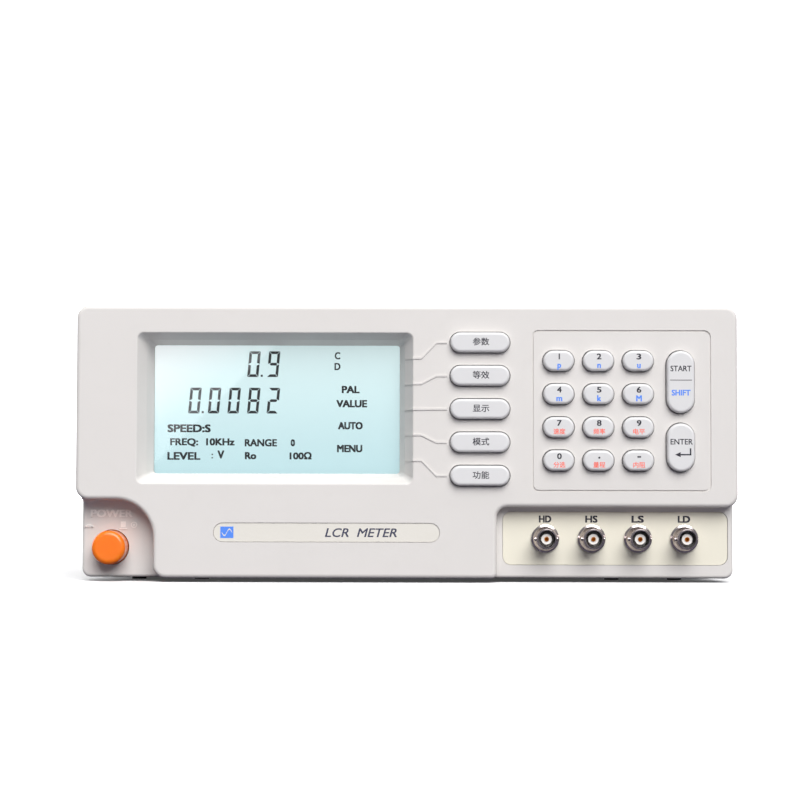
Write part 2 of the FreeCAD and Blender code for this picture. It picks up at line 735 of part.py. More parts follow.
def bezel_hollow(bezel):
    """Core the block from the rear, leaving walls, the display bucket and the two floors."""
    back = "bezel_depth"
    main = Drawing(bezel, "main_core_outline", at=back)
    left = "rim_step + wall - bezel_width / 2"
    right = "bezel_width / 2 - rim_step - wall"
    low = "bench_gap + wall"
    high = "bezel_top - rim_top_step - wall"
    main.outline([
        (left, high, "wall"), (left, "power_top + wall", "0"),
        ("power_right + wall", "power_top + wall", "power_arc + wall"),
        ("power_right + wall", low, "0"), ("terminal_left - wall", low, "0"),
        ("terminal_left - wall", "terminal_top + wall", "0"),
        (right, "terminal_top + wall", "0"), (right, high, "wall"),
    ])
    main.box("display_left - wall", "display_right + wall",
             "display_bottom - wall", "display_top + wall")
    main.pocket("main_core", "bezel_depth - wall", reverse=True)

    power = Drawing(bezel, "power_core_outline", at=back)
    power.rounded_box(left, "power_right - wall", low, "power_top - wall", "rim_corner")
    power.pocket("power_core", "bezel_depth - power_floor - wall", reverse=True)

    terminal = Drawing(bezel, "terminal_core_outline", at=back)
    terminal.rounded_box("terminal_left + wall", right, low, "terminal_top - wall", "wall")
    terminal.pocket("terminal_core", "bezel_depth - terminal_floor - plate_pocket - wall",
                    reverse=True)

    room = Drawing(bezel, "case_room_outline", at=back)
    room.rounded_box(left, right, low, high, "wall")
    room.pocket("case_room", "bezel_depth - inner_walls_end", reverse=True)

    window = Drawing(bezel, "window_seat_outline", at=back)
    lap = "display_slope_x - window_lap - fit_gap"
    rise = "display_slope_z - window_lap - fit_gap"
    window.box(f"display_left + {lap}", f"display_right - ({lap})",
               f"display_bottom + {rise}", f"display_top - ({rise})")
    window.pocket("window_seat", "bezel_depth - display_depth", reverse=True)


def bezel_apertures(bezel):
    """Openings for the keys and the power button."""
    grown = "+ 2 * key_gap"
    digit = Drawing(bezel, "digit_aperture_outline")
    digit.stadium("digit_x", "digit_top", f"digit_width {grown}", f"digit_height {grown}")
    first = digit.pocket("digit_aperture", "wall + key_gap")
    row = document.addObject("PartDesign::LinearPattern", "digit_aperture_row")
    column = document.addObject("PartDesign::LinearPattern", "digit_aperture_column")
    grid = bezel.newObject("PartDesign::MultiTransform", "digit_apertures")
    for pattern, axis, count, pitch, backwards in (
        (row, "X_Axis", DIGIT_COLUMNS, "digit_pitch_x", False),
        (column, "Z_Axis", DIGIT_ROWS, "digit_pitch_z", True),
    ):
        bezel.addObject(pattern)
        pattern.Direction = (next(f for f in bezel.Origin.OriginFeatures if f.Role == axis), [""])
        pattern.Mode = "Spacing"
        pattern.Reversed = backwards
        pattern.Occurrences = count
        bind(pattern, Offset=pitch)
    grid.Originals = [first]
    grid.Transformations = [row, column]
    bezel.Tip = grid

    soft = Drawing(bezel, "soft_aperture_outline")
    soft.stadium("soft_x", "soft_middle - 2 * soft_pitch",
                 f"soft_width {grown}", f"soft_height {grown}")
    aperture = soft.pocket("soft_aperture", "wall + key_gap")
    repeat(bezel, aperture, "soft_apertures", "Z", str(SOFT_KEYS), "soft_pitch")

    action = Drawing(bezel, "action_aperture_outline")
    action.stadium("action_x", "start_z", f"action_width {grown}", f"start_height {grown}")
    action.stadium("action_x", "enter_z", f"action_width {grown}", f"enter_height {grown}")
    action.pocket("action_apertures", "wall + key_gap")

    power = Drawing(bezel, "power_hole_outline", at="power_floor")
    power.circle("power_x", "power_z", "power_diameter / 2 + power_hole_gap")
    power.pocket("power_hole", "wall + clear_cut")


def bezel_terminal_seat(bezel):
    """The shallow pocket for the terminal plate and the opening behind it."""
    seat = Drawing(bezel, "plate_seat_outline", at="terminal_floor")
    seat.rounded_box("plate_left", "plate_right", "plate_bottom", "plate_top", "plate_corner")
    seat.pocket("plate_seat", "plate_pocket")
    opening = Drawing(bezel, "plate_opening_outline", at="terminal_floor + plate_pocket")
    opening.rounded_box("plate_left + plate_ledge", "plate_right - plate_ledge",
                        "plate_bottom + plate_ledge", "plate_top - plate_ledge", "wall")
    opening.pocket("plate_opening", "wall + clear_cut")


def bezel_face_details(bezel):
    """The keypad groove, the nameplate recess and the leader ridges."""
    groove = Drawing(bezel, "keypad_groove_outline")
    groove.rounded_box("field_left", "field_right", "field_bottom", "field_top", "field_corner")
    groove.rounded_box("field_left + groove_width", "field_right - groove_width",
                       "field_bottom + groove_width", "field_top - groove_width",
                       "field_corner - groove_width")
    groove.pocket("keypad_groove", "groove_depth")

    name = Drawing(bezel, "name_recess_outline")
    name.stadium("name_x", "name_z", "name_width", "name_height")
    name.pocket("name_recess_cut", "name_recess")

    wall_ridge = Drawing(bezel, "wall_ridge_profile", plane="XY_Plane",
                         at="ridge_middle - 2 * ridge_pitch - ridge_width / 2")
    slant = "display_knee / display_knee_x"
    wall_ridge.polygon([
        ("ridge_bend", "-ridge_height"), ("ridge_bend", "ridge_height"),
        ("display_right + ridge_height", "2 * ridge_height"),
        ("ridge_start", f"(display_right - ridge_start + ridge_height) * {slant}"),
        ("ridge_start", f"(display_right - ridge_start - ridge_height) * {slant}"),
        ("display_right", "-ridge_height"),
    ])
    ridge = wall_ridge.pad("wall_ridge", "ridge_width", reverse=False)
    repeat(bezel, ridge, "wall_ridges", "Z", str(SOFT_KEYS), "ridge_pitch")

    leaders = Drawing(bezel, "leader_outlines", at="-ridge_height")
    for step in range(-2, 3):
        near = f"ridge_middle + {step} * ridge_pitch"
        far = f"soft_middle + {step} * soft_pitch"
        over = "ridge_width / 2"
        leaders.polygon([
            ("ridge_bend - ridge_width", f"{near} + {over}"), ("ridge_bend", f"{near} + {over}"),
            ("ridge_level", f"{far} + {over}"), ("ridge_end", f"{far} + {over}"),
            ("ridge_end", f"{far} - {over}"), ("ridge_level", f"{far} - {over}"),
            ("ridge_bend", f"{near} - {over}"), ("ridge_bend - ridge_width", f"{near} - {over}"),
        ])
    leaders.pad("leader_ridges", "2 * ridge_height")


def bezel_bosses(bezel):
    """Screw bosses for the case and posts for the keypad board, with their pilot holes."""
    bosses = [("-boss_x", "boss_top"), ("boss_x", "boss_top"),
              ("boss_low_left", "boss_low"), ("boss_low_right", "boss_low")]
    posts = [("post_left", "post_low"), ("post_right", "post_low"),
             ("post_left", "post_high"), ("post_right", "post_high")]
    depth = "mat_front + mat_thickness"
    for name, places, end, outer, hole in (
        ("case_bosses", bosses, "boss_end", "boss_diameter", "boss_hole"),
        ("board_posts", posts, depth, "post_diameter", "post_hole"),
    ):
        solid = Drawing(bezel, f"{name}_outlines", at=end)
        bore = Drawing(bezel, f"{name}_hole_outlines", at=end)
        for x, z in places:
            solid.circle(x, z, f"{outer} / 2")
            bore.circle(x, z, f"{hole} / 2")
        solid.pad(name, f"{end} - wall / 2", reverse=False)
        bore.pocket(f"{name}_holes", f"{end} - wall - hole_floor", reverse=True)


def front_bezel():
    """The moulded front shell: stepped slab, sloping display bucket, apertures, cored rear."""
    bezel = new_body("front_bezel")
    bezel_slab(bezel)
    bezel_display_recess(bezel)
    bezel_hollow(bezel)
    bezel_terminal_seat(bezel)
    bezel_apertures(bezel)
    bezel_face_details(bezel)
    bezel_bosses(bezel)
    finish(bezel, y="face_y")


# ------------------------------------------------- display, nameplate, terminal plate


def plate(name, outline, at, thickness):
    """A flat front-facing plate: outline is a function that draws it."""
    sheet = new_body(name)
    drawing = Drawing(sheet, f"{name}_outline", at=at)
    outline(drawing)
    drawing.pad(f"{name}_plate", thickness)
    return sheet


def window_outline(inset):
    """The clear window's outline, drawn in by an inset."""
    run = f"display_slope_x - window_lap + {inset}"
    rise = f"display_slope_z - window_lap + {inset}"
    return lambda drawing: drawing.rounded_box(
        f"display_left + {run}", f"display_right - ({run})",
        f"display_bottom + {rise}", f"display_top - ({rise})", "display_inner_corner")


def display_stack():
    """Clear window, LCD glass, the pressed frame that clips it and its driver board."""
    window = plate("display_window", window_outline("0"), "display_depth", "window_thickness")
    finish(window, y="face_y")
    behind_window = "display_depth + window_thickness"
    glass = plate("lcd_glass", window_outline("glass_inset"),
                  f"{behind_window} + frame_thickness", "glass_thickness")
    finish(glass, y="face_y")

    frame = plate("lcd_frame", window_outline("0"), behind_window, "frame_depth")
    room = Drawing(frame, "glass_room_outline", at=f"{behind_window} + frame_thickness")
    window_outline("frame_thickness")(room)
    room.pocket("glass_room", "frame_depth")
    opening = Drawing(frame, "frame_opening_outline", at=behind_window)
    window_outline("window_lap")(opening)
    opening.pocket("frame_opening", "2 * frame_thickness")
    finish(frame, y="face_y")

    board = plate("lcd_board", window_outline("0"), f"{behind_window} + frame_depth",
                  "board_thickness")
    finish(board, y="face_y")


def nameplate():
    def inlay(drawing):
        drawing.stadium("name_x", "name_z", "name_width - 2 * name_gap",
                        "name_height - 2 * name_gap")

    finish(plate("nameplate", inlay, "name_recess - name_thickness", "name_thickness"), y="face_y")


def jack_places():
    """Centres of the four jacks as formulas."""
    return [(f"jack_first + {number} * jack_pitch", "jack_height") for number in range(4)]


def terminal_plate():
    """The plate that the four jacks are bolted through."""
    front = "terminal_floor + plate_pocket - plate_thickness"
    panel = new_body("terminal_plate")
    outline = Drawing(panel, "terminal_plate_outline", at=front)
    outline.rounded_box("plate_left + plate_gap", "plate_right - plate_gap",
                        "plate_bottom + plate_gap", "plate_top - plate_gap",
                        "plate_corner - plate_gap")
    outline.pad("terminal_plate_sheet", "plate_thickness")
    holes = Drawing(panel, "jack_hole_outlines", at=front)
    for x, z in jack_places():
        holes.circle(x, z, "jack_thread / 2 + fit_gap")
    holes.pocket("jack_holes", "2 * plate_thickness")
    finish(panel, y="face_y")


# ------------------------------------------------------------------------- jacks

PLATE_FACE = "face_y + terminal_floor + plate_pocket - plate_thickness"


def jack_shell(name, x, z):
    """A BNC body turned about its axis: flange, barrel with mouth, threaded tail, two lugs."""
    shell = new_body(name)
    profile = Drawing(shell, f"{name}_profile", plane="XY_Plane")
    mouth = "jack_mouth / 2"
    barrel = "jack_barrel / 2"
    thread = "jack_thread / 2"
    rim = "-jack_reach"
    throat = "jack_mouth_depth - jack_reach"
    flange = "jack_flange / 2"
    core = "sleeve_diameter / 2 + sleeve_gap"
    profile.polygon([
        (mouth, rim), (f"{barrel} - jack_edge", rim), (barrel, f"{rim} + jack_edge"),
        (barrel, "-jack_flange_thickness - flange_cone"),
        (f"{flange} - flange_bevel", "-jack_flange_thickness"),
        (flange, "flange_bevel / 2 - jack_flange_thickness"), (flange, "0"), (thread, "0"),
        (thread, "jack_tail"), (core, "jack_tail"), (core, throat), (mouth, throat),
    ])
    profile.revolve(f"{name}_turned")
    lugs = Drawing(shell, f"{name}_lug_outline", plane="YZ_Plane", at="-lug_span / 2")
    lugs.circle("lug_back - jack_reach", "0", "lug_diameter / 2")
    lugs.pad(f"{name}_lugs", "lug_span", reverse=False)
    clear = Drawing(shell, f"{name}_mouth_outline", at="-jack_reach")
    clear.circle("0", "0", mouth)
    clear.pocket(f"{name}_mouth", "jack_mouth_depth")
    finish(shell, x, PLATE_FACE, z)


def jack_insides():
    """Insulators, centre contacts and nuts: one turned pattern each, at all four jacks."""
    places = [(x, PLATE_FACE, z) for x, z in jack_places()]

    insulator = new_body("insulator_pattern")
    profile = Drawing(insulator, "insulator_profile", plane="XY_Plane")
    hole = "contact_diameter / 2"
    nose = "sleeve_diameter / 2"
    step = "jack_mouth_depth - jack_reach"
    profile.polygon([
        (hole, "sleeve_drop - jack_reach"), (nose, "sleeve_drop - jack_reach"),
        (nose, f"{step} - sleeve_washer"),
        ("jack_mouth / 2 - sleeve_gap", f"{step} - sleeve_washer"),
        ("jack_mouth / 2 - sleeve_gap", step), (nose, step), (nose, "jack_tail"),
        (hole, "jack_tail"),
    ])
    profile.revolve("insulator_turned")
    copies("bnc_insulators", insulator, places)

    contact = new_body("contact_pattern")
    profile = Drawing(contact, "contact_profile", plane="XY_Plane")
    bore = "contact_bore / 2"
    tip = "contact_drop - jack_reach"
    tail = "jack_tail + contact_tail"
    profile.polygon([
        (bore, tip), ("contact_diameter / 2", tip), ("contact_diameter / 2", tail), ("0", tail),
        ("0", f"{tip} + contact_hole_depth"), (bore, f"{tip} + contact_hole_depth"),
    ])
    profile.revolve("contact_turned")
    copies("bnc_contacts", contact, places)

    nut = new_body("jack_nut_pattern")
    outline = Drawing(nut, "jack_nut_outline", at="plate_thickness")
    outline.hexagon("nut_across")
    outline.circle("0", "0", "jack_thread / 2 + nut_gap")
    outline.pad("jack_nut_body", "nut_thickness")
    copies("bnc_nuts", nut, places)


def jacks():
    for name, (x, z) in zip(("hd", "hs", "ls", "ld"), jack_places()):
        jack_shell(f"bnc_shell_{name}", x, z)
    jack_insides()


# --------------------------------------------------------------------- keys and button


def key_cap(name, x, z, width, height):
    """A key: pillow-edged stadium cap with a retaining lip behind the bezel's wall."""
    key = new_body(name)
    cap = Drawing(key, f"{name}_outline", at="-key_proud")
    cap.stadium("0", "0", width, height)
    cap.pad(f"{name}_cap", "key_proud + key_back")
    top = -size("key_proud")
    round_edges(key, f"{name}_rounding", "key_round", lambda edge: lies_in(edge, "y", top))
    lip = Drawing(key, f"{name}_lip_outline", at="key_lip_front")
    wider = "+ 2 * (key_gap + key_lip)"
    lip.stadium("0", "0", f"{width} {wider}", f"{height} {wider}")
    lip.pad(f"{name}_lip", "key_back - key_lip_front")
    finish(key, x, "face_y", z)


def keys():
    """Twelve digit keys in reading order, two action keys, five soft keys."""
    names = ["1", "2", "3", "4", "5", "6", "7", "8", "9", "0", "point", "minus"]
    for number, name in enumerate(names):
        row, column = divmod(number, DIGIT_COLUMNS)
        key_cap(f"key_{name}", f"digit_x + {column} * digit_pitch_x",
                f"digit_top - {row} * digit_pitch_z", "digit_width", "digit_height")
    key_cap("key_start", "action_x", "start_z", "action_width", "start_height")
    key_cap("key_enter", "action_x", "enter_z", "action_width", "enter_height")
    for number in range(SOFT_KEYS):
        key_cap(f"softkey_{number + 1}", "soft_x",
                f"soft_middle + {SOFT_KEYS // 2 - number} * soft_pitch",
                "soft_width", "soft_height")


def keypad_layers():
    """The silicone mat that returns the keys and the board that reads them."""
    mat = new_body("keypad_mat")
    outline = Drawing(mat, "mat_outline", at="mat_front")
    outline.rounded_box("mat_left", "mat_right", "mat_bottom", "mat_top", "wall")
    for z in ("post_low", "post_high"):
        outline.circle("post_left", z, "post_diameter / 2 + fit_gap")
    outline.pad("mat_sheet", "mat_thickness")
    finish(mat, y="face_y")

    board = new_body("keypad_board")
    outline = Drawing(board, "keypad_board_outline", at="mat_front + mat_thickness")
    left, low, high = "mat_left - board_margin", "mat_bottom - board_margin", "mat_top + board_margin"
    right = "post_right + post_diameter / 2"
    beside_boss = "boss_x - boss_diameter / 2 - board_margin"
    under_boss = "boss_top - boss_diameter / 2 - board_margin"
    outline.outline([
        (left, low, "block_corner"), (right, low, "block_corner"),
        (right, under_boss, "block_corner"), (beside_boss, under_boss, "block_corner"),
        (beside_boss, high, "block_corner"), (left, high, "block_corner"),
    ])
    for x in ("post_left", "post_right"):
        for z in ("post_low", "post_high"):
            outline.circle(x, z, "post_hole / 2 + fit_gap")
    outline.pad("keypad_board_sheet", "board_thickness")
    finish(board, y="face_y")


def power_button():
    """Turned button with a domed edge, a retaining collar and a seat for the rod."""
    button = new_body("power_button")
    profile = Drawing(button, "button_profile", plane="XY_Plane")
    outer = "power_diameter / 2"
    collar = f"{outer} + power_hole_gap + collar_reach"
    collar_front = "wall + collar_gap"
    collar_back = f"{collar_front} + collar_thickness"
    stem = "power_diameter / 3"
    seat = "rod_diameter / 2 + rod_gap"
    rear = "wall + button_stem"
    profile.polygon([
        ("0", "-power_proud"), (outer, "-power_proud"), (outer, collar_front),
        (collar, collar_front), (collar, collar_back), (stem, collar_back), (stem, rear),
        (seat, rear), (seat, f"{rear} - rod_socket"), ("0", f"{rear} - rod_socket"),
    ])
    profile.revolve("button_turned")
    front = -size("power_proud")
    round_edges(button, "button_rounding", "power_edge", lambda edge: lies_in(edge, "y", front))
    finish(button, "power_x", "face_y + power_floor", "power_z")


def power_train():
    """The push rod behind the button and the mains switch that it works."""
    rod = new_body("power_push_rod")
    section = Drawing(rod, "rod_section")
    section.circle("0", "0", "rod_diameter / 2")
    start = "face_y + power_floor + wall + button_stem - rod_socket"
    section.pad("rod_length", f"rod_end_y - ({start})")
    finish(rod, "power_x", start, "power_z")

    switch = new_body("power_switch")
    block = Drawing(switch, "switch_outline")
    half = "switch_size / 2"
    block.rounded_box(f"-{half}", half, f"-{half}", half, "flange_corner")
    block.pad("switch_block", "switch_length")
    throat = Drawing(switch, "switch_throat_outline")
    throat.circle("0", "0", "switch_throat / 2")
    throat.pocket("switch_throat_bore", "switch_throat_depth")
    tags = Drawing(switch, "switch_tags_outline", at="switch_length")
    for x, z in SWITCH_TAGS:
        tags.box(f"{x} - tag_width / 2", f"{x} + tag_width / 2",
                 f"{z} - tag_height / 2", f"{z} + tag_height / 2")
    tags.pad("switch_tags", "tag_length")
    finish(switch, "power_x", "switch_y", "power_z")


# -------------------------------------------------------------------- sheet-metal case


def channel(name, half, low, high, upright, at_bottom):
    """A folded U of sheet: a web with two flanges, the bends rounded in and out."""
    sheet_part = new_body(name)
    section = Drawing(sheet_part, f"{name}_section")
    inner = f"{half} - sheet"
    bend = "sheet_bend"
    inside_bend = "sheet_bend - sheet"
    if at_bottom:
        section.outline([
            (f"-({half})", high, "0"), (f"-({half})", low, bend), (half, low, bend),
            (half, high, "0"), (inner, high, "0"), (inner, f"{low} + sheet", inside_bend),
            (f"-({inner})", f"{low} + sheet", inside_bend), (f"-({inner})", high, "0"),
        ])
    else:
        section.outline([
            (f"-({half})", low, "0"), (f"-({half})", high, bend), (half, high, bend),
            (half, low, "0"), (inner, low, "0"), (inner, f"{high} - sheet", inside_bend),
            (f"-({inner})", f"{high} - sheet", inside_bend), (f"-({inner})", low, "0"),
        ])
    section.pad(f"{name}_fold", upright)
    return sheet_part


def screw_holes(body, name, half):
    """Three holes through both flanges for the case screws."""
    holes = Drawing(body, f"{name}_screw_hole", plane="YZ_Plane", at=f"-({half}) - clear_cut")
    holes.circle("screw_first - case_front", "screw_z", "screw_shank / 2 + fit_gap")
    first = holes.pocket(f"{name}_screw_holes_front", f"2 * ({half} + clear_cut)", reverse=True)
    repeat(body, first, f"{name}_screw_holes", "Y", str(SCREWS_PER_SIDE), "screw_pitch")


def bottom_tray():
    """The tray that carries everything inside, with vent slots in its floor."""
    tray = channel("bottom_tray", "tray_half_width", "tray_base", "tray_flange_top",
                   "rear_y - case_front", at_bottom=True)
    slots = Drawing(tray, "floor_vent_outline", plane="XY_Plane", at="tray_base - clear_cut")
    slots.stadium("0", "vent_first - case_front", "vent_height", "vent_width")
    slots.stadium("2 * vent_height", "vent_first - case_front", "vent_height", "vent_width")
    first = slots.pocket("floor_vent", "sheet + 2 * clear_cut", reverse=True)
    repeat(tray, first, "floor_vents", "Y", "floor_vent_count", "vent_pitch")
    screw_holes(tray, "tray", "tray_half_width")
    finish(tray, y="case_front")


def top_cover():
    """The wrap-round cover with a row of vent slots in each side."""
    cover = channel("top_cover", "cover_half_width", "cover_bottom", "cover_top",
                    "rear_y - case_front", at_bottom=False)
    slots = Drawing(cover, "side_vent_outline", plane="YZ_Plane", at="-cover_half_width - clear_cut")
    slots.stadium("vent_first - case_front", "vent_low + vent_height / 2",
                  "vent_width", "vent_height")
    first = slots.pocket("side_vent", "2 * (cover_half_width + clear_cut)", reverse=True)
    repeat(cover, first, "side_vents", "Y", "vent_count", "vent_pitch")
    screw_holes(cover, "cover", "cover_half_width")
    finish(cover, y="case_front")


def case_screws():
    """Six pan-head screws along the lower edge of the cover."""
    screws = []
    for side, turn in ((1, 90), (-1, -90)):
        for number in range(SCREWS_PER_SIDE):
            tag = f"{'right' if side > 0 else 'left'}_{number + 1}"
            head = primitive("Cylinder", f"screw_head_{tag}", Radius="screw_head / 2",
                             Height="screw_head_height")
            shank = primitive("Cylinder", f"screw_shank_{tag}", Radius="screw_shank / 2",
                              Height="screw_length + screw_head_height / 2")
            for solid, start in ((head, "0"), (shank, "-screw_length")):
                along = f"{side} * (cover_half_width + {start})"
                place(solid, along, f"screw_first + {number} * screw_pitch", "screw_z")
                solid.Placement.Rotation = FreeCAD.Rotation(Vector(0, 1, 0), turn)
            screw = document.addObject("Part::Fuse", f"screw_{tag}")
            screw.Base = head
            screw.Tool = shank
            screws.append(screw)
    gather("case_screws", screws)


# -------------------------------------------------------------------------------- feet


def front_foot(name, side):
    """A foot with a well for its tilt leg, open below; its pin holes run along X."""
    foot = new_body(name)
    outline = Drawing(foot, f"{name}_outline", plane="XY_Plane", at="foot_base")
    half = "foot_width / 2"
    outline.rounded_box(f"-{half}", half, "0", "foot_length", "foot_corner")
    outline.pad(f"{name}_block", "tray_base - foot_base", reverse=False)
    well = Drawing(foot, f"{name}_well_outline", plane="XY_Plane", at="0")
    well.box("-well_width / 2", "well_width / 2", "well_front", "well_front + well_length")
    well.pocket(f"{name}_well", "well_roof", reverse=True)
    pin_hole = Drawing(foot, f"{name}_pin_hole_outline", plane="YZ_Plane",
                       at="-well_width / 2 - pin_seat")
    pin_hole.circle("hinge_y", "hinge_z", "pin_diameter / 2")
    pin_hole.pocket(f"{name}_pin_holes", "well_width + 2 * pin_seat", reverse=True)
    finish(foot, f"{side} * foot_x", "foot_front")


def tilt_leg(name, side):
    """The leg folded flat in its well: a knuckle round the pin, a tapering blade, a tip."""
    leg = new_body(name)
    half = "leg_thickness / 2"
    blade = Drawing(leg, f"{name}_profile", plane="YZ_Plane", at="-leg_width / 2")
    end_round = f"{half} - knuckle_flat"
    blade.outline([
        ("-leg_knuckle / 2", f"-{half}", end_round), ("leg_length", f"-{half}", "leg_tip"),
        ("leg_length", half, "leg_tip"), ("-leg_knuckle / 2", half, end_round),
    ])
    blade.pad(f"{name}_blade", "leg_width", reverse=False)
    notch = Drawing(leg, f"{name}_notch_outline", plane="XY_Plane", at="-leg_thickness")
    notch.rounded_box("-leg_width / 4", "leg_width / 4", "leg_length / 3", "leg_length * 3 / 4",
                      "flange_corner")
    notch.pocket(f"{name}_window", "2 * leg_thickness", reverse=True)
    bore = Drawing(leg, f"{name}_bore_outline", plane="YZ_Plane", at="-leg_width / 2 - clear_cut")
    bore.circle("0", "0", "pin_diameter / 2 + pin_gap")
    bore.pocket(f"{name}_bore", "leg_width + 2 * clear_cut", reverse=True)
    finish(leg, f"{side} * foot_x", "foot_front + hinge_y", "hinge_z")


def feet():
    pins = []
    for name, side in (("left", -1), ("right", 1)):
        front_foot(f"front_foot_{name}", side)
        tilt_leg(f"tilt_leg_{name}", side)
        pin = primitive("Cylinder", f"tilt_pin_{name}", Radius="pin_diameter / 2",
                        Height="well_width + 2 * pin_seat")
        place(pin, f"{side} * foot_x - well_width / 2 - pin_seat", "foot_front + hinge_y",
              "hinge_z")
        pin.Placement.Rotation = FreeCAD.Rotation(Vector(0, 1, 0), 90)
        pins.append(pin)
    gather("tilt_pins", pins)

    rear = []
    pads = []
    for name, side in (("left", -1), ("right", 1)):
        foot = primitive("Cone", f"rear_foot_{name}", Height="tray_base - foot_base",
                         Radius1="rear_foot_diameter / 2 - rear_foot_taper",
                         Radius2="rear_foot_diameter / 2")
        place(foot, f"{side} * foot_x", "rear_foot_y", "foot_base")
        rear.append(foot)
        pad = primitive("Cylinder", f"rear_pad_{name}", Radius="rear_pad_diameter / 2",
                        Height="foot_base")
        place(pad, f"{side} * foot_x", "rear_foot_y", "0")
        pads.append(pad)
        for corner, (dx, dy) in enumerate(FOOT_CORNERS, start=1):
            pad = primitive("Cylinder", f"front_pad_{name}_{corner}", Radius="pad_diameter / 2",
                            Height="foot_base")
            place(pad, f"{side} * foot_x + {dx} * (foot_width / 2 - pad_inset)",
                  f"foot_front + foot_length / 2 + {dy} * (foot_length / 2 - pad_inset)", "0")
            pads.append(pad)
    gather("rear_feet", rear)
    gather("foot_pads", pads)


# -------------------------------------------------------------------------- rear panel


def rear_panel():
    """The rear panel with its cut-outs."""
    panel = new_body("rear_panel")
    outline = Drawing(panel, "rear_panel_outline", at="-sheet")
    outline.rounded_box("-panel_half_width", "panel_half_width", "panel_bottom", "panel_top",
                        "panel_corner")
    outline.pad("rear_panel_sheet", "sheet")
    cuts = Drawing(panel, "rear_panel_cut_outlines", at="-sheet - clear_cut")
    cuts.box("inlet_x - inlet_width / 2 - fit_gap", "inlet_x + inlet_width / 2 + fit_gap",
             "inlet_z - inlet_below - fit_gap", "inlet_z + inlet_above + fit_gap")
    for x, width in (("serial_x", "serial_body"), ("handler_x", "handler_body")):
        cuts.rounded_box(f"{x} - {width} / 2 - fit_gap", f"{x} + {width} / 2 + fit_gap",
                         "port_z - port_body / 2 - fit_gap", "port_z + port_body / 2 + fit_gap",
                         "block_corner")
    cuts.circle("earth_x", "earth_z", "earth_shank / 2 + fit_gap")
    cuts.pocket("rear_panel_cuts", "sheet + 2 * clear_cut")
    finish(panel, y="panel_y")


def ac_inlet():
    """Appliance inlet with three blades above the well of the fuse drawer."""
    inlet = new_body("ac_inlet")
    flange = Drawing(inlet, "inlet_flange_outline")
    half = "inlet_width / 2"
    flange.rounded_box(f"-{half} - inlet_flange", f"{half} + inlet_flange",
                       "-inlet_below - inlet_flange", "inlet_above + inlet_flange",
                       "flange_corner")
    flange.pad("inlet_flange_plate", "inlet_flange_thickness")
    block = Drawing(inlet, "inlet_body_outline", at="-inlet_depth")
    block.rounded_box(f"-{half}", half, "-inlet_below", "inlet_above", "block_corner")
    block.pad("inlet_block", "inlet_depth + inlet_flange_thickness / 2")

    socket = Drawing(inlet, "socket_outline", at="inlet_flange_thickness")
    wide = "socket_width / 2"
    high = "socket_height / 2"
    socket.polygon([
        (f"-{wide}", f"-{high}"), (wide, f"-{high}"), (wide, f"{high} - socket_chamfer"),
        (f"{wide} - socket_chamfer", high), (f"socket_chamfer - {wide}", high),
        (f"-{wide}", f"{high} - socket_chamfer"),
    ])
    socket.pocket("socket_well", "socket_depth", reverse=True)
    blades = Drawing(inlet, "blade_outlines",
                     at="inlet_flange_thickness - socket_depth - clear_cut")
    for x, z in (("-blade_pitch", "-blade_offset"), ("0", "blade_offset"),
                 ("blade_pitch", "-blade_offset")):
        blades.box(f"{x} - blade_width / 2", f"{x} + blade_width / 2",
                   f"{z} - blade_height / 2", f"{z} + blade_height / 2")
    blades.pad("blades", "blade_length + clear_cut")

    well = Drawing(inlet, "drawer_well_outline", at="inlet_flange_thickness")
    well.box("-drawer_width / 2 - drawer_gap", "drawer_width / 2 + drawer_gap",
             "-drawer_drop - drawer_height / 2 - drawer_gap",
             "-drawer_drop + drawer_height / 2 + drawer_gap")
    well.pocket("drawer_well", "drawer_depth + inlet_flange_thickness + drawer_gap", reverse=True)
    finish(inlet, "inlet_x", "panel_y", "inlet_z")


def fuse_drawer():
    """The drawer: a block with an open trough across it for a fuse, and a front plate."""
    drawer = new_body("fuse_drawer")
    block = Drawing(drawer, "drawer_outline", at="-drawer_depth")
    half = "drawer_width / 2"
    tall = "drawer_height / 2"
    block.box(f"-{half}", half, f"-{tall}", tall)
    block.pad("drawer_block", "drawer_depth + inlet_flange_thickness + drawer_gap")
    cap = Drawing(drawer, "drawer_plate_outline", at="inlet_flange_thickness + drawer_gap")
    cap.rounded_box(f"-{half} - drawer_lip", f"{half} + drawer_lip",
                    f"-{tall} - drawer_lip / 2", f"{tall} + drawer_lip / 2", "block_corner")
    cap.pad("drawer_front_plate", "drawer_plate")
    trough = Drawing(drawer, "trough_outline", plane="YZ_Plane", at="-fuse_length / 2")
    wide = "(fuse_diameter / 2 + drawer_gap)"
    trough.outline([
        (f"-drawer_depth / 2 - {wide}", f"{tall} - fuse_diameter", "fuse_diameter / 3"),
        (f"-drawer_depth / 2 + {wide}", f"{tall} - fuse_diameter", "fuse_diameter / 3"),
        (f"-drawer_depth / 2 + {wide}", f"{tall} + clear_cut", "0"),
        (f"-drawer_depth / 2 - {wide}", f"{tall} + clear_cut", "0"),
    ])
    trough.pocket("trough", "fuse_length", reverse=True)
    finish(drawer, "inlet_x", "panel_y", "inlet_z - drawer_drop")


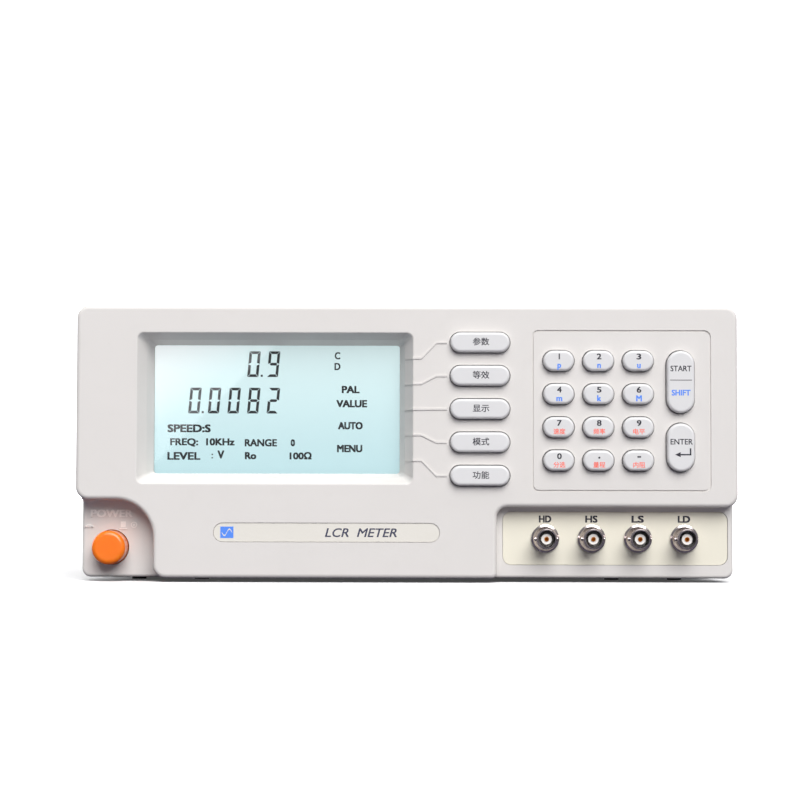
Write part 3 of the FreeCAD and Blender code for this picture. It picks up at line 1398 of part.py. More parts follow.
def port(name, x, body_width, flange_width, nose_width):
    """A panel connector: body through the panel, screw flange, and a nose with sockets."""
    connector = new_body(name)
    block = Drawing(connector, f"{name}_body_outline", at="-port_depth")
    block.rounded_box(f"-{body_width} / 2", f"{body_width} / 2", "-port_body / 2",
                      "port_body / 2", "block_corner")
    block.pad(f"{name}_body", "port_depth + port_plate / 2")
    flange = Drawing(connector, f"{name}_flange_outline")
    flange.rounded_box(f"-{flange_width} / 2", f"{flange_width} / 2", "-port_flange / 2",
                       "port_flange / 2", "port_corner")
    flange.pad(f"{name}_flange", "port_plate")
    nose = Drawing(connector, f"{name}_nose_outline", at="port_plate / 2")
    nose.rounded_box(f"-{nose_width} / 2", f"{nose_width} / 2", "-port_nose / 2",
                     "port_nose / 2", "port_nose / 3")
    nose.pad(f"{name}_nose", "port_plate / 2 + port_reach")
    finish(connector, x, "panel_y", "port_z")


def earth_terminal():
    """Knurled-knob binding post on a threaded stud."""
    post = new_body("earth_terminal")
    profile = Drawing(post, "earth_profile", plane="XY_Plane")
    stud = "earth_shank / 2"
    knob = "earth_knob / 2"
    neck = f"{knob} - earth_bevel"
    profile.polygon([
        ("0", "-sheet - earth_tail"), (stud, "-sheet - earth_tail"), (stud, "0"), (neck, "0"),
        (neck, "earth_neck"), (knob, "earth_neck + earth_bevel"),
        (knob, "earth_length - earth_bevel"), (neck, "earth_length"), ("0", "earth_length"),
    ])
    profile.revolve("earth_turned")
    finish(post, "earth_x", "panel_y", "earth_z")


def rear_guards():
    """Four tapered guards that the instrument can be stood on, which keep the sockets clear."""
    guards = []
    for side in (-1, 1):
        for level in ("low", "high"):
            guard = primitive("Cone", f"guard_{level}_{'left' if side < 0 else 'right'}",
                              Radius1="guard_root / 2", Radius2="guard_tip / 2",
                              Height="guard_length")
            place(guard, f"{side} * guard_x", "panel_y", f"guard_{level}")
            guard.Placement.Rotation = FreeCAD.Rotation(Vector(1, 0, 0), -90)
            guards.append(guard)
    gather("rear_guards", guards)


# ------------------------------------------------------------------------------ inside


def main_board():
    """Measuring board on its stand-offs, with the screening can over the input stage."""
    top = "tray_base + sheet + standoff_height"
    board = new_body("main_board")
    outline = Drawing(board, "main_board_outline", plane="XY_Plane")
    outline.rounded_box("main_left", "main_right", "main_front", "main_back", "flange_corner")
    outline.pad("main_board_sheet", "board_thickness", reverse=False)
    parts = Drawing(board, "main_board_parts_outline", plane="XY_Plane", at="board_thickness")
    for x, y, width, length in BOARD_PARTS:
        parts.box(f"{x} - {width} / 2", f"{x} + {width} / 2",
                  f"{y} - {length} / 2", f"{y} + {length} / 2")
    parts.pad("main_board_parts", "board_part_height", reverse=False)
    finish(board, z=top)

    stands = []
    for x, y in (("main_left + main_inset", "main_front + main_inset"),
                 ("main_right - main_inset", "main_front + main_inset"),
                 ("main_left + main_inset", "main_back - main_inset"),
                 ("main_right - main_inset", "main_back - main_inset")):
        stand = primitive("Cylinder", f"standoff_{len(stands) + 1}",
                          Radius="standoff_diameter / 2", Height="standoff_height")
        place(stand, x, y, "tray_base + sheet")
        stands.append(stand)
    gather("board_standoffs", stands)

    can = new_body("shield_can")
    outline = Drawing(can, "can_outline", plane="XY_Plane")
    outline.rounded_box("can_left", "can_right", "can_front", "can_back", "can_corner")
    outline.pad("can_block", "can_height", reverse=False)
    inside = Drawing(can, "can_inside_outline", plane="XY_Plane")
    inside.rounded_box("can_left + can_sheet", "can_right - can_sheet",
                       "can_front + can_sheet", "can_back - can_sheet",
                       "can_corner - can_sheet")
    inside.pocket("can_inside", "can_height - can_sheet", reverse=True)
    finish(can, z=f"{top} + board_thickness")


def transformer():
    """Laminated core with two windows, and the winding round its middle limb."""
    core = new_body("transformer_core")
    half = "core_width / 2"
    outline = Drawing(core, "core_outline", at="-core_stack / 2")
    outline.box(f"-{half}", half, "0", "core_height")
    for side in (-1, 1):
        inner = f"{side} * core_limb"
        outer = f"{side} * ({half} - core_limb)"
        left, right = (outer, inner) if side < 0 else (inner, outer)
        outline.box(left, right, "core_limb", "core_height - core_limb")
    outline.pad("core_stacked", "core_stack")
    finish(core, "core_x", "core_y", "tray_base + sheet")

    winding = new_body("transformer_winding")
    outline = Drawing(winding, "winding_outline", plane="XY_Plane", at="core_limb + fit_gap")
    reach = f"({half} - core_limb - fit_gap)"
    outline.rounded_box(f"-{reach}", reach, "-winding_stack / 2", "winding_stack / 2",
                        "winding_corner")
    outline.rounded_box("-core_limb - fit_gap", "core_limb + fit_gap",
                        "-core_stack / 2 - fit_gap", "core_stack / 2 + fit_gap", "former_corner")
    outline.pad("winding_wound", "core_height - 2 * core_limb - 2 * fit_gap", reverse=False)
    finish(winding, "core_x", "core_y", "tray_base + sheet")


# -------------------------------------------------------------------------------- whole


def faults():
    """Features that failed and cuts that take nothing away."""
    found = []
    for thing in document.Objects:
        if "Invalid" in thing.State or "Error" in thing.State:
            found.append(f"{thing.Name}: {thing.State}")
        elif thing.TypeId in ("PartDesign::Pocket", "PartDesign::SubtractiveLoft"):
            if thing.BaseFeature.Shape.Volume - thing.Shape.Volume < NEAR:
                found.append(f"{thing.Name} cuts nothing")
    return found


def check_and_write():
    """Stop on any failed feature, idle cut or bad shape; then write one file per piece."""
    document.recompute()
    if faults():
        raise RuntimeError("; ".join(faults()))
    os.makedirs("parts", exist_ok=True)
    for piece in PIECES:
        shape = piece.Shape
        if shape.isNull() or not shape.isValid():
            raise RuntimeError(f"{piece.Label}: bad shape")
        shape.exportStep(f"parts/{piece.Label}.step")
    print(len(PIECES), "pieces written")


def main():
    front_bezel()
    display_stack()
    nameplate()
    terminal_plate()
    jacks()
    keys()
    keypad_layers()
    power_button()
    power_train()
    bottom_tray()
    top_cover()
    case_screws()
    feet()
    rear_panel()
    ac_inlet()
    fuse_drawer()
    port("serial_port", "serial_x", "serial_body", "serial_flange", "serial_nose")
    port("handler_port", "handler_x", "handler_body", "handler_flange", "handler_nose")
    earth_terminal()
    rear_guards()
    main_board()
    transformer()
    check_and_write()


main()
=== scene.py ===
"""Looks for the bench LCR meter: finishes, printed legends, the lit display and a plain studio.

Laid out as an add-on and run as a script.  Metres; +X right, the front faces -Y, +Z up.
"""

import json
import math

import bmesh
import bpy
from bpy.props import FloatProperty, FloatVectorProperty, PointerProperty
from mathutils import Euler, Matrix, Vector


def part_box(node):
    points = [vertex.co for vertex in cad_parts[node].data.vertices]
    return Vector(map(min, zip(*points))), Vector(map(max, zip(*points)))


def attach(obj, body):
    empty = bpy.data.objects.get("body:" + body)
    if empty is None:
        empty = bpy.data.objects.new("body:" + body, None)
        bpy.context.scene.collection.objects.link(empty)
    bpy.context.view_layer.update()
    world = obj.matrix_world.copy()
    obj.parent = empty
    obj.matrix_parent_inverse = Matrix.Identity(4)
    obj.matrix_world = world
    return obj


bl_info = {
    "name": "LCR Meter Looks",
    "version": (1, 0, 0),
    "blender": (4, 5, 0),
    "location": "View3D > Sidebar > LCR Meter",
    "description": "Finishes, legends, display and studio for a bench LCR meter",
    "category": "Object",
}

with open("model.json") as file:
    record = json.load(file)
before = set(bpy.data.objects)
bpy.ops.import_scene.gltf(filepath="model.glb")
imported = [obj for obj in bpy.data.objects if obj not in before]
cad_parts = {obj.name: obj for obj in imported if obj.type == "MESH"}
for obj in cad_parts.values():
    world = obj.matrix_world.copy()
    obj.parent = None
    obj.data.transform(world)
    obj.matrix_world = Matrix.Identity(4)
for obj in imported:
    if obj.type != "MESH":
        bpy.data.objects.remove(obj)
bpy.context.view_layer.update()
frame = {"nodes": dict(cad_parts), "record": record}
MM = 0.001


def screen(red, green, blue):
    """A screen colour, 0 to 255, as the linear values that shaders take."""
    def linear(part):
        share = part / 255
        return share / 12.92 if share <= 0.04045 else ((share + 0.055) / 1.055) ** 2.4

    return (linear(red), linear(green), linear(blue))


def colour(label, meaning, red, green, blue):
    """A colour property that a user can change."""
    return FloatVectorProperty(name=label, description=meaning, subtype="COLOR", size=3,
                               min=0.0, max=1.0, default=screen(red, green, blue))


def length(label, meaning, millimetres):
    """A length property that a user can change."""
    return FloatProperty(name=label, description=meaning, subtype="DISTANCE", unit="LENGTH",
                         default=millimetres * MM)


def angle(label, meaning, degrees):
    """An angle property that a user can change."""
    return FloatProperty(name=label, description=meaning, subtype="ANGLE", unit="ROTATION",
                         default=math.radians(degrees))


def strength(label, meaning, default, unit="NONE"):
    """A strength or a brightness that a user can change."""
    return FloatProperty(name=label, description=meaning, default=default, min=0.0, unit=unit)


# What a user can change


class MeterColours(bpy.types.PropertyGroup):
    """Colours of the finishes and of the printing."""

    bezel: colour("Bezel", "Warm grey moulding of the front", 219, 215, 211)
    keys: colour("Keys", "Cool grey moulding of the keys", 218, 217, 217)
    button: colour("Power button", "Orange moulding of the power button", 255, 124, 16)
    plate: colour("Terminal plate", "Cream paint of the terminal plate", 233, 228, 211)
    inlay: colour("Nameplate", "Cream of the nameplate inlay", 226, 222, 213)
    case: colour("Case", "Powder coat of cover, tray and rear panel", 196, 193, 187)
    lcd_top: colour("Display top", "Upper edge of the lit display", 234, 252, 252)
    lcd_foot: colour("Display foot", "Lower edge of the lit display", 193, 222, 227)
    ink_black: colour("Black ink", "Main key legends", 38, 36, 48)
    ink_grey: colour("Grey ink", "Start, enter and their rule", 86, 82, 88)
    ink_blue: colour("Blue ink", "Shifted prefixes", 84, 140, 240)
    ink_red: colour("Red ink", "Shifted functions", 255, 104, 84)
    ink_slate: colour("Slate ink", "Lettering of the nameplate", 62, 64, 86)
    ink_display: colour("Display segments", "Darkened segments of the display", 8, 10, 14)


class MeterSizes(bpy.types.PropertyGroup):
    """Sizes of the printing and of the moulded lettering."""

    ink: length("Ink", "Thickness of a printed legend", 0.03)
    digit_cap: length("Digit", "Height of a digit on its key", 2.6)
    shift_cap: length("Shifted legend", "Height of the second line on a key", 2.5)
    soft_cap: length("Soft key legend", "Height of the words on the soft keys", 3.5)
    action_cap: length("Start and enter", "Height of the words on the tall keys", 2.6)
    terminal_cap: length("Terminal label", "Height of the labels over the jacks", 3.1)
    name_cap: length("Nameplate", "Height of the lettering on the nameplate", 4.1)
    raised: length("Raised mark", "Height of moulded lettering above its floor", 0.5)
    segment: length("Segment", "Breadth of a display segment", 1.3)


class MeterStudio(bpy.types.PropertyGroup):
    """Camera and lights."""

    camera_side: length("Camera side", "Camera to the right of the middle", 1.7)
    camera_back: length("Camera back", "Camera in front of the origin", 1108.0)
    camera_up: length("Camera height", "Camera above the bench", 43.7)
    camera_pitch: angle("Pitch", "Camera tilted up", 2.554)
    camera_yaw: angle("Yaw", "Camera turned to the left", 0.292)
    camera_roll: angle("Roll", "Camera rolled anticlockwise", 0.12)
    lens: FloatProperty(name="Lens", description="Focal length on a 36 mm sensor, in millimetres",
                        default=90.8, min=10.0)
    key_strength: strength("Key light", "Strength of the soft key light", 3.65)
    key_softness: angle("Key softness", "Angle that the key light fills", 48.0)
    strip_power: strength("Strip light", "Power of the strip overhead", 0.9, "POWER")
    back_strength: strength("Back light", "Strength of the light behind", 1.3)
    surround: strength("Surround", "Brightness of the white surround", 0.25)
    backdrop: strength("Backdrop", "Brightness of the white backdrop", 1.05)
    reflector: strength("Reflector", "Brightness seen in the window", 0.9)


# Shader helpers


class Amount:
    """A socket that carries a number over a surface; arithmetic on it adds Math nodes."""

    def __init__(self, finish, socket):
        self.finish = finish
        self.socket = socket

    def _math(self, operation, first, second, clamp=False):
        node = self.finish.add("ShaderNodeMath", {"operation": operation, "use_clamp": clamp},
                               {0: first, 1: second})
        return Amount(self.finish, node.outputs[0])

    def __add__(self, other):
        return self._math("ADD", self, other)

    def __sub__(self, other):
        return self._math("SUBTRACT", self, other)

    def __rsub__(self, other):
        return self._math("SUBTRACT", other, self)

    def __mul__(self, other):
        return self._math("MULTIPLY", self, other)

    def __pow__(self, other):
        return self._math("POWER", self, other)

    def sine(self):
        return self._math("SINE", self, 0.0)

    def clamped(self):
        return self._math("ADD", self, 0.0, clamp=True)


class Finish:
    """One procedural material round a Principled shader."""

    def __init__(self, name):
        self.material = bpy.data.materials.get(name) or bpy.data.materials.new(name)
        self.material.use_nodes = True
        self.nodes = self.material.node_tree.nodes
        self.nodes.clear()
        self.shader = self.add("ShaderNodeBsdfPrincipled")
        self.output = self.add("ShaderNodeOutputMaterial", {}, {"Surface": self.shader.outputs[0]})
        self.place = self.add("ShaderNodeTexCoord").outputs["Object"]

    def add(self, kind, settings=None, sockets=None):
        """A node of a type: its settings first, then the values or links of its sockets."""
        node = self.nodes.new(kind)
        for name, value in (settings or {}).items():
            setattr(node, name, value)
        for key, value in (sockets or {}).items():
            self.feed(node.inputs[key], value)
        return node

    def feed(self, socket, value):
        """Link a socket, or set it to a constant."""
        if isinstance(value, Amount):
            value = value.socket
        if isinstance(value, bpy.types.NodeSocket):
            self.material.node_tree.links.new(value, socket)
        elif hasattr(value, "__len__") and len(socket.default_value) == len(value) + 1:
            socket.default_value = (*value, 1.0)
        else:
            socket.default_value = value

    def set(self, **inputs):
        """Feed the Principled shader; underscores stand for the spaces of a socket's name."""
        for name, value in inputs.items():
            self.feed(self.shader.inputs[name.replace("_", " ")], value)

    def spot(self, axis):
        """One coordinate of the surface, in metres."""
        split = self.add("ShaderNodeSeparateXYZ", {}, {0: self.place})
        return Amount(self, split.outputs["XYZ".index(axis)])

    def stretched(self, x, y, z):
        """The place on the surface, stretched along the axes."""
        node = self.add("ShaderNodeVectorMath", {"operation": "MULTIPLY"},
                        {0: self.place, 1: (x, y, z)})
        return node.outputs[0]

    def noise(self, grain, detail=2.0, place=None, roughness=0.5):
        """Noise from 0 to 1 whose grain is a length in metres."""
        node = self.add("ShaderNodeTexNoise", {"noise_dimensions": "3D"},
                        {"Vector": place or self.place, "Scale": 1 / grain, "Detail": detail,
                         "Roughness": roughness})
        return Amount(self, node.outputs["Fac"])

    def cells(self, grain, feature="F1"):
        """Distance in a cell pattern whose cells are a length in metres."""
        node = self.add("ShaderNodeTexVoronoi", {"feature": feature},
                        {"Vector": self.place, "Scale": 1 / grain})
        return Amount(self, node.outputs["Distance"])

    def ramp(self, amount, low, high):
        """An amount spread so that low becomes 0 and high becomes 1, held within them."""
        node = self.add("ShaderNodeMapRange", {"clamp": True},
                        {"Value": amount, "From Min": low, "From Max": high})
        return Amount(self, node.outputs["Result"])

    def mix(self, amount, first, second):
        """Two colours mixed by an amount."""
        node = self.add("ShaderNodeMix", {"data_type": "RGBA"}, {0: amount, 6: first, 7: second})
        return node.outputs[2]

    def bump(self, height, depth):
        """A normal from a height of 0 to 1 that stands for a depth in metres."""
        node = self.add("ShaderNodeBump", {}, {"Height": height, "Distance": depth,
                                               "Strength": 1.0})
        return node.outputs["Normal"]

    def edges(self, radius):
        """1 on edges that hands and cloths reach, 0 on the flats."""
        soft = self.add("ShaderNodeBevel", {"samples": 4}, {"Radius": radius}).outputs["Normal"]
        sharp = self.add("ShaderNodeNewGeometry").outputs["Normal"]
        node = self.add("ShaderNodeVectorMath", {"operation": "DOT_PRODUCT"}, {0: soft, 1: sharp})
        on_a_flat, on_an_edge = 0.995, 0.80
        return self.ramp(Amount(self, node.outputs["Value"]), on_a_flat, on_an_edge)


def tinted(base, factor):
    """A colour made lighter or darker."""
    return tuple(min(1.0, part * factor) for part in base)


def blended(first, second, share):
    """A colour between two others."""
    return tuple(a + (b - a) * share for a, b in zip(first, second))


# Finishes


def moulded(name, base, grain, depth, rough, gloss=0.0):
    """Moulded plastic: spark-eroded grain, faint flow mottling, handled edges."""
    finish = Finish(name)
    fine = finish.noise(grain, 2.0)
    flow = finish.noise(0.030, 3.0)
    grime = finish.ramp(finish.noise(0.011, 4.0, roughness=0.7), 0.56, 0.80)
    worn = finish.edges(0.0006) * finish.ramp(finish.noise(0.006, 3.0), 0.35, 0.7)
    body = finish.mix(flow, tinted(base, 0.975), tinted(base, 1.02))
    body = finish.mix(grime * 0.16, body, blended(base, (0.30, 0.27, 0.23), 0.25))
    body = finish.mix(worn * 0.30, body, tinted(base, 1.10))
    finish.set(Base_Color=body, Roughness=flow * 0.10 + fine * 0.06 + rough - worn * 0.08,
               Normal=finish.bump(fine, depth), IOR=1.50, Coat_Weight=gloss,
               Coat_Roughness=0.12)
    return finish


# Painted highlight: a lighter copy of the bezel plastic, so that the raised marks read as lit
# against their floor.
def highlit_raised_marks(name, colours):
    return moulded(name, tinted(colours.bezel, 1.26), 0.00055, 0.000010, 0.40)


def button_orange(name, colours):
    finish = moulded(name, colours.button, 0.0006, 0.000004, 0.26, gloss=0.35)
    finish.set(Subsurface_Weight=0.45, Subsurface_Radius=(0.006, 0.003, 0.001),
               Subsurface_Scale=1.0)
    return finish


def clear_window(name, colours):
    """A clear acrylic pane: see-through, with a reflection and a few fine wipe marks."""
    finish = Finish(name)
    wipe = finish.ramp(finish.noise(0.0006, 2.0, finish.stretched(1.0, 1.0, 0.12)), 0.62, 0.9)
    haze = finish.ramp(finish.noise(0.02, 3.0), 0.4, 0.9)
    finish.set(Base_Color=finish.mix(haze, (0.97, 0.98, 1.0), (0.90, 0.93, 0.96)),
               Metallic=1.0, Roughness=wipe * 0.15 + haze * 0.02 + 0.02)
    clear = finish.add("ShaderNodeBsdfTransparent", {}, {"Color": (0.97, 0.985, 0.985)})
    weight = finish.add("ShaderNodeLayerWeight", {}, {"Blend": 0.5})
    tilt = Amount(finish, weight.outputs["Facing"])
    glancing, wiped, straight_on = 0.90, 0.02, 0.036
    share = (tilt ** 5 * glancing + wipe * wiped + straight_on).clamped()
    both = finish.add("ShaderNodeMixShader", {},
                      {0: share, 1: clear.outputs[0], 2: finish.shader.outputs[0]})
    finish.feed(finish.output.inputs["Surface"], both.outputs[0])
    return finish


def lit_display(name, colours):
    """A backlit display: pale cyan that deepens downwards, with a painted reflection that whitens
    it towards the upper left.
    """
    finish = Finish(name)
    low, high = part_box("lcd_glass")
    rise = finish.ramp(finish.spot("Z"), low.z, high.z)
    line_pitch = 0.0012
    lines = (finish.spot("Z") * (math.tau / line_pitch)).sine() * 0.5 + 0.5
    cloud = finish.noise(0.05, 2.0)
    face = finish.mix(rise, colours.lcd_foot, colours.lcd_top)
    # Painted reflection: a window gloss whitens the face towards the upper left, in the base
    # colour and in the glow.
    slope, reach = 0.8, 0.055
    corner = finish.spot("Z") - finish.spot("X") * slope
    painted_gloss = finish.ramp(corner, high.z - slope * (low.x + reach), high.z - slope * low.x)
    face = finish.mix(painted_gloss * 0.95, face, (1.0, 1.0, 1.0))
    face = finish.mix(lines * 0.03 + cloud * 0.03, face, screen(176, 206, 214))
    finish.set(Base_Color=finish.mix(0.65, face, (0.02, 0.03, 0.03)),
               Roughness=cloud * 0.08 + 0.30, IOR=1.45,
               Emission_Color=face, Emission_Strength=0.72,
               Normal=finish.bump(lines, 0.000002))
    return finish


def painted(name, base, grain=0.0009, depth=0.00003, rough=0.42):
    """Powder coat: orange peel, faint speckle, rubbed edges."""
    finish = Finish(name)
    peel = finish.noise(grain, 2.0)
    speck = finish.ramp(finish.noise(grain / 3, 1.0), 0.62, 0.75)
    broad = finish.noise(0.06, 3.0)
    rubbed = finish.edges(0.0007) * finish.ramp(finish.noise(0.004, 4.0, roughness=0.7),
                                                0.50, 0.62)
    smear = finish.ramp(finish.noise(0.02, 4.0, finish.stretched(1.0, 0.35, 1.0)), 0.55, 0.8)
    body = finish.mix(broad, tinted(base, 0.97), tinted(base, 1.02))
    body = finish.mix(speck * 0.10, body, tinted(base, 0.75))
    body = finish.mix(smear * 0.10, body, tinted(base, 0.80))
    body = finish.mix(rubbed * 0.45, body, screen(150, 148, 146))
    finish.set(Base_Color=body, Roughness=peel * 0.10 + broad * 0.08 + rough - smear * 0.07,
               Normal=finish.bump(peel, depth), IOR=1.5)
    return finish


def panel_paint(name, colours):
    return painted(name, tinted(colours.case, 1.05))


def metal(name, base, rough, dull, grain=0.0004, stretch=(1.0, 1.0, 1.0), depth=0.000003):
    """Plated metal with fine drawn or turned marks and duller patches."""
    finish = Finish(name)
    marks = finish.noise(grain, 3.0, finish.stretched(*stretch))
    patch = finish.ramp(finish.noise(0.004, 4.0, roughness=0.65), 0.45, 0.75)
    body = finish.mix(marks, tinted(base, 0.93), tinted(base, 1.04))
    body = finish.mix(patch * 0.5, body, dull)
    finish.set(Base_Color=body, Metallic=1.0 - patch * 0.06,
               Roughness=marks * 0.10 + patch * 0.12 + rough, Normal=finish.bump(marks, depth))
    return finish


def jack_nickel(name, colours):
    """Bright nickel, with painted shade darkening it down in the mouths and between the rims."""
    finish = metal(name, screen(212, 202, 201), 0.10, screen(176, 162, 160), grain=0.0012,
                   stretch=(1.0, 6.0, 1.0))
    # Painted shade: the base colour darkens where the ambient occlusion finds the mouths and the
    # gaps between the rims.
    open_sky = finish.add("ShaderNodeAmbientOcclusion", {"samples": 8}, {"Distance": 0.006})
    hollow_shade = finish.ramp(Amount(finish, open_sky.outputs["AO"]), 0.75, 0.30)
    shade = finish.mix(hollow_shade, finish.shader.inputs["Base Color"].links[0].from_socket,
                       screen(74, 58, 56))
    finish.set(Base_Color=shade)
    return finish


def rubber_black(name, colours):
    """Soft rubber: matt, slightly greyed by dust."""
    finish = Finish(name)
    grain = finish.noise(0.0005, 3.0)
    dust = finish.ramp(finish.noise(0.005, 4.0), 0.4, 0.75)
    finish.set(Base_Color=finish.mix(dust * 0.5, screen(34, 34, 35), screen(74, 72, 70)),
               Roughness=grain * 0.12 + 0.74, Normal=finish.bump(grain, 0.00004))
    return finish


def silicone(name, colours):
    """Translucent grey keypad rubber with a bloom."""
    finish = Finish(name)
    bloom = finish.noise(0.004, 4.0)
    finish.set(Base_Color=finish.mix(bloom, screen(150, 152, 154), screen(180, 180, 178)),
               Roughness=bloom * 0.15 + 0.5, Normal=finish.bump(bloom, 0.00002),
               Subsurface_Weight=0.15, Subsurface_Radius=(0.002, 0.002, 0.002))
    return finish


def board_green(name, colours):
    """Solder mask over copper tracks, with tinned pads."""
    finish = Finish(name)
    tracks = finish.ramp(finish.cells(0.006, "DISTANCE_TO_EDGE"), 0.02, 0.06)
    pads = 1 - finish.ramp(finish.cells(0.0025), 0.10, 0.16)
    weave = finish.noise(0.0007, 2.0)
    body = finish.mix(tracks, screen(44, 122, 72), screen(24, 88, 52))
    body = finish.mix(pads, body, screen(190, 186, 170))
    finish.set(Base_Color=body, Roughness=weave * 0.12 + 0.30, Metallic=pads * 0.8,
               Normal=finish.bump(tracks, 0.00003))
    return finish


def winding_tape(name, colours):
    """Yellow polyester tape in overlapping turns."""
    finish = Finish(name)
    tape_pitch = 0.009
    turns = (finish.spot("Z") * (math.tau / tape_pitch)).sine() * 0.5 + 0.5
    wrinkle = finish.noise(0.003, 3.0)
    finish.set(Base_Color=finish.mix(turns, screen(214, 176, 60), screen(236, 204, 92)),
               Roughness=wrinkle * 0.15 + 0.28, Normal=finish.bump(turns, 0.0002))
    return finish


def ink(name, base):
    """Screen-printed ink: a slightly uneven film."""
    finish = Finish(name)
    film = finish.noise(0.0006, 3.0)
    thin = finish.ramp(finish.noise(0.002, 4.0), 0.60, 0.85)
    body = finish.mix(thin * 0.14, base, blended(base, (0.6, 0.6, 0.6), 0.18))
    finish.set(Base_Color=body, Roughness=film * 0.15 + 0.38, Normal=finish.bump(film, 0.000004))
    return finish.material


def recipe(build, base, *numbers, **settings):
    """A plain finish on a fixed colour, or on one that a user can change by its name."""
    def make(name, colours):
        tint = getattr(colours, base) if isinstance(base, str) else base
        return build(name, tint, *numbers, **settings)

    return make


FINISHES = {
    "bezel_plastic": recipe(moulded, "bezel", 0.00055, 0.000016, 0.44),
    "key_plastic": recipe(moulded, "keys", 0.00045, 0.000008, 0.36),
    "button_orange": button_orange, "window_clear": clear_window, "lcd": lit_display,
    "plate_cream": recipe(painted, "plate", 0.0006, 0.000008, 0.34),
    "nameplate_cream": recipe(painted, "inlay", 0.0005, 0.000006, 0.30),
    "case_paint": recipe(painted, "case"), "panel_paint": panel_paint,
    "plated_steel": recipe(metal, screen(196, 193, 186), 0.26, screen(168, 164, 154)),
    "jack_nickel": jack_nickel,
    "insulator_white": recipe(moulded, screen(240, 238, 232), 0.0008, 0.000004, 0.34),
    "contact_gilt": recipe(metal, screen(222, 138, 44), 0.22, screen(170, 92, 30)),
    "black_plastic": recipe(moulded, screen(42, 41, 43), 0.0006, 0.000018, 0.46),
    "rubber_black": rubber_black, "silicone": silicone, "board_green": board_green,
    "lamination": recipe(metal, screen(92, 90, 92), 0.42, screen(70, 62, 56), 0.0012,
                         (0.02, 2.4, 0.02), 0.00006),
    "winding_tape": winding_tape,
}


# Piece helpers


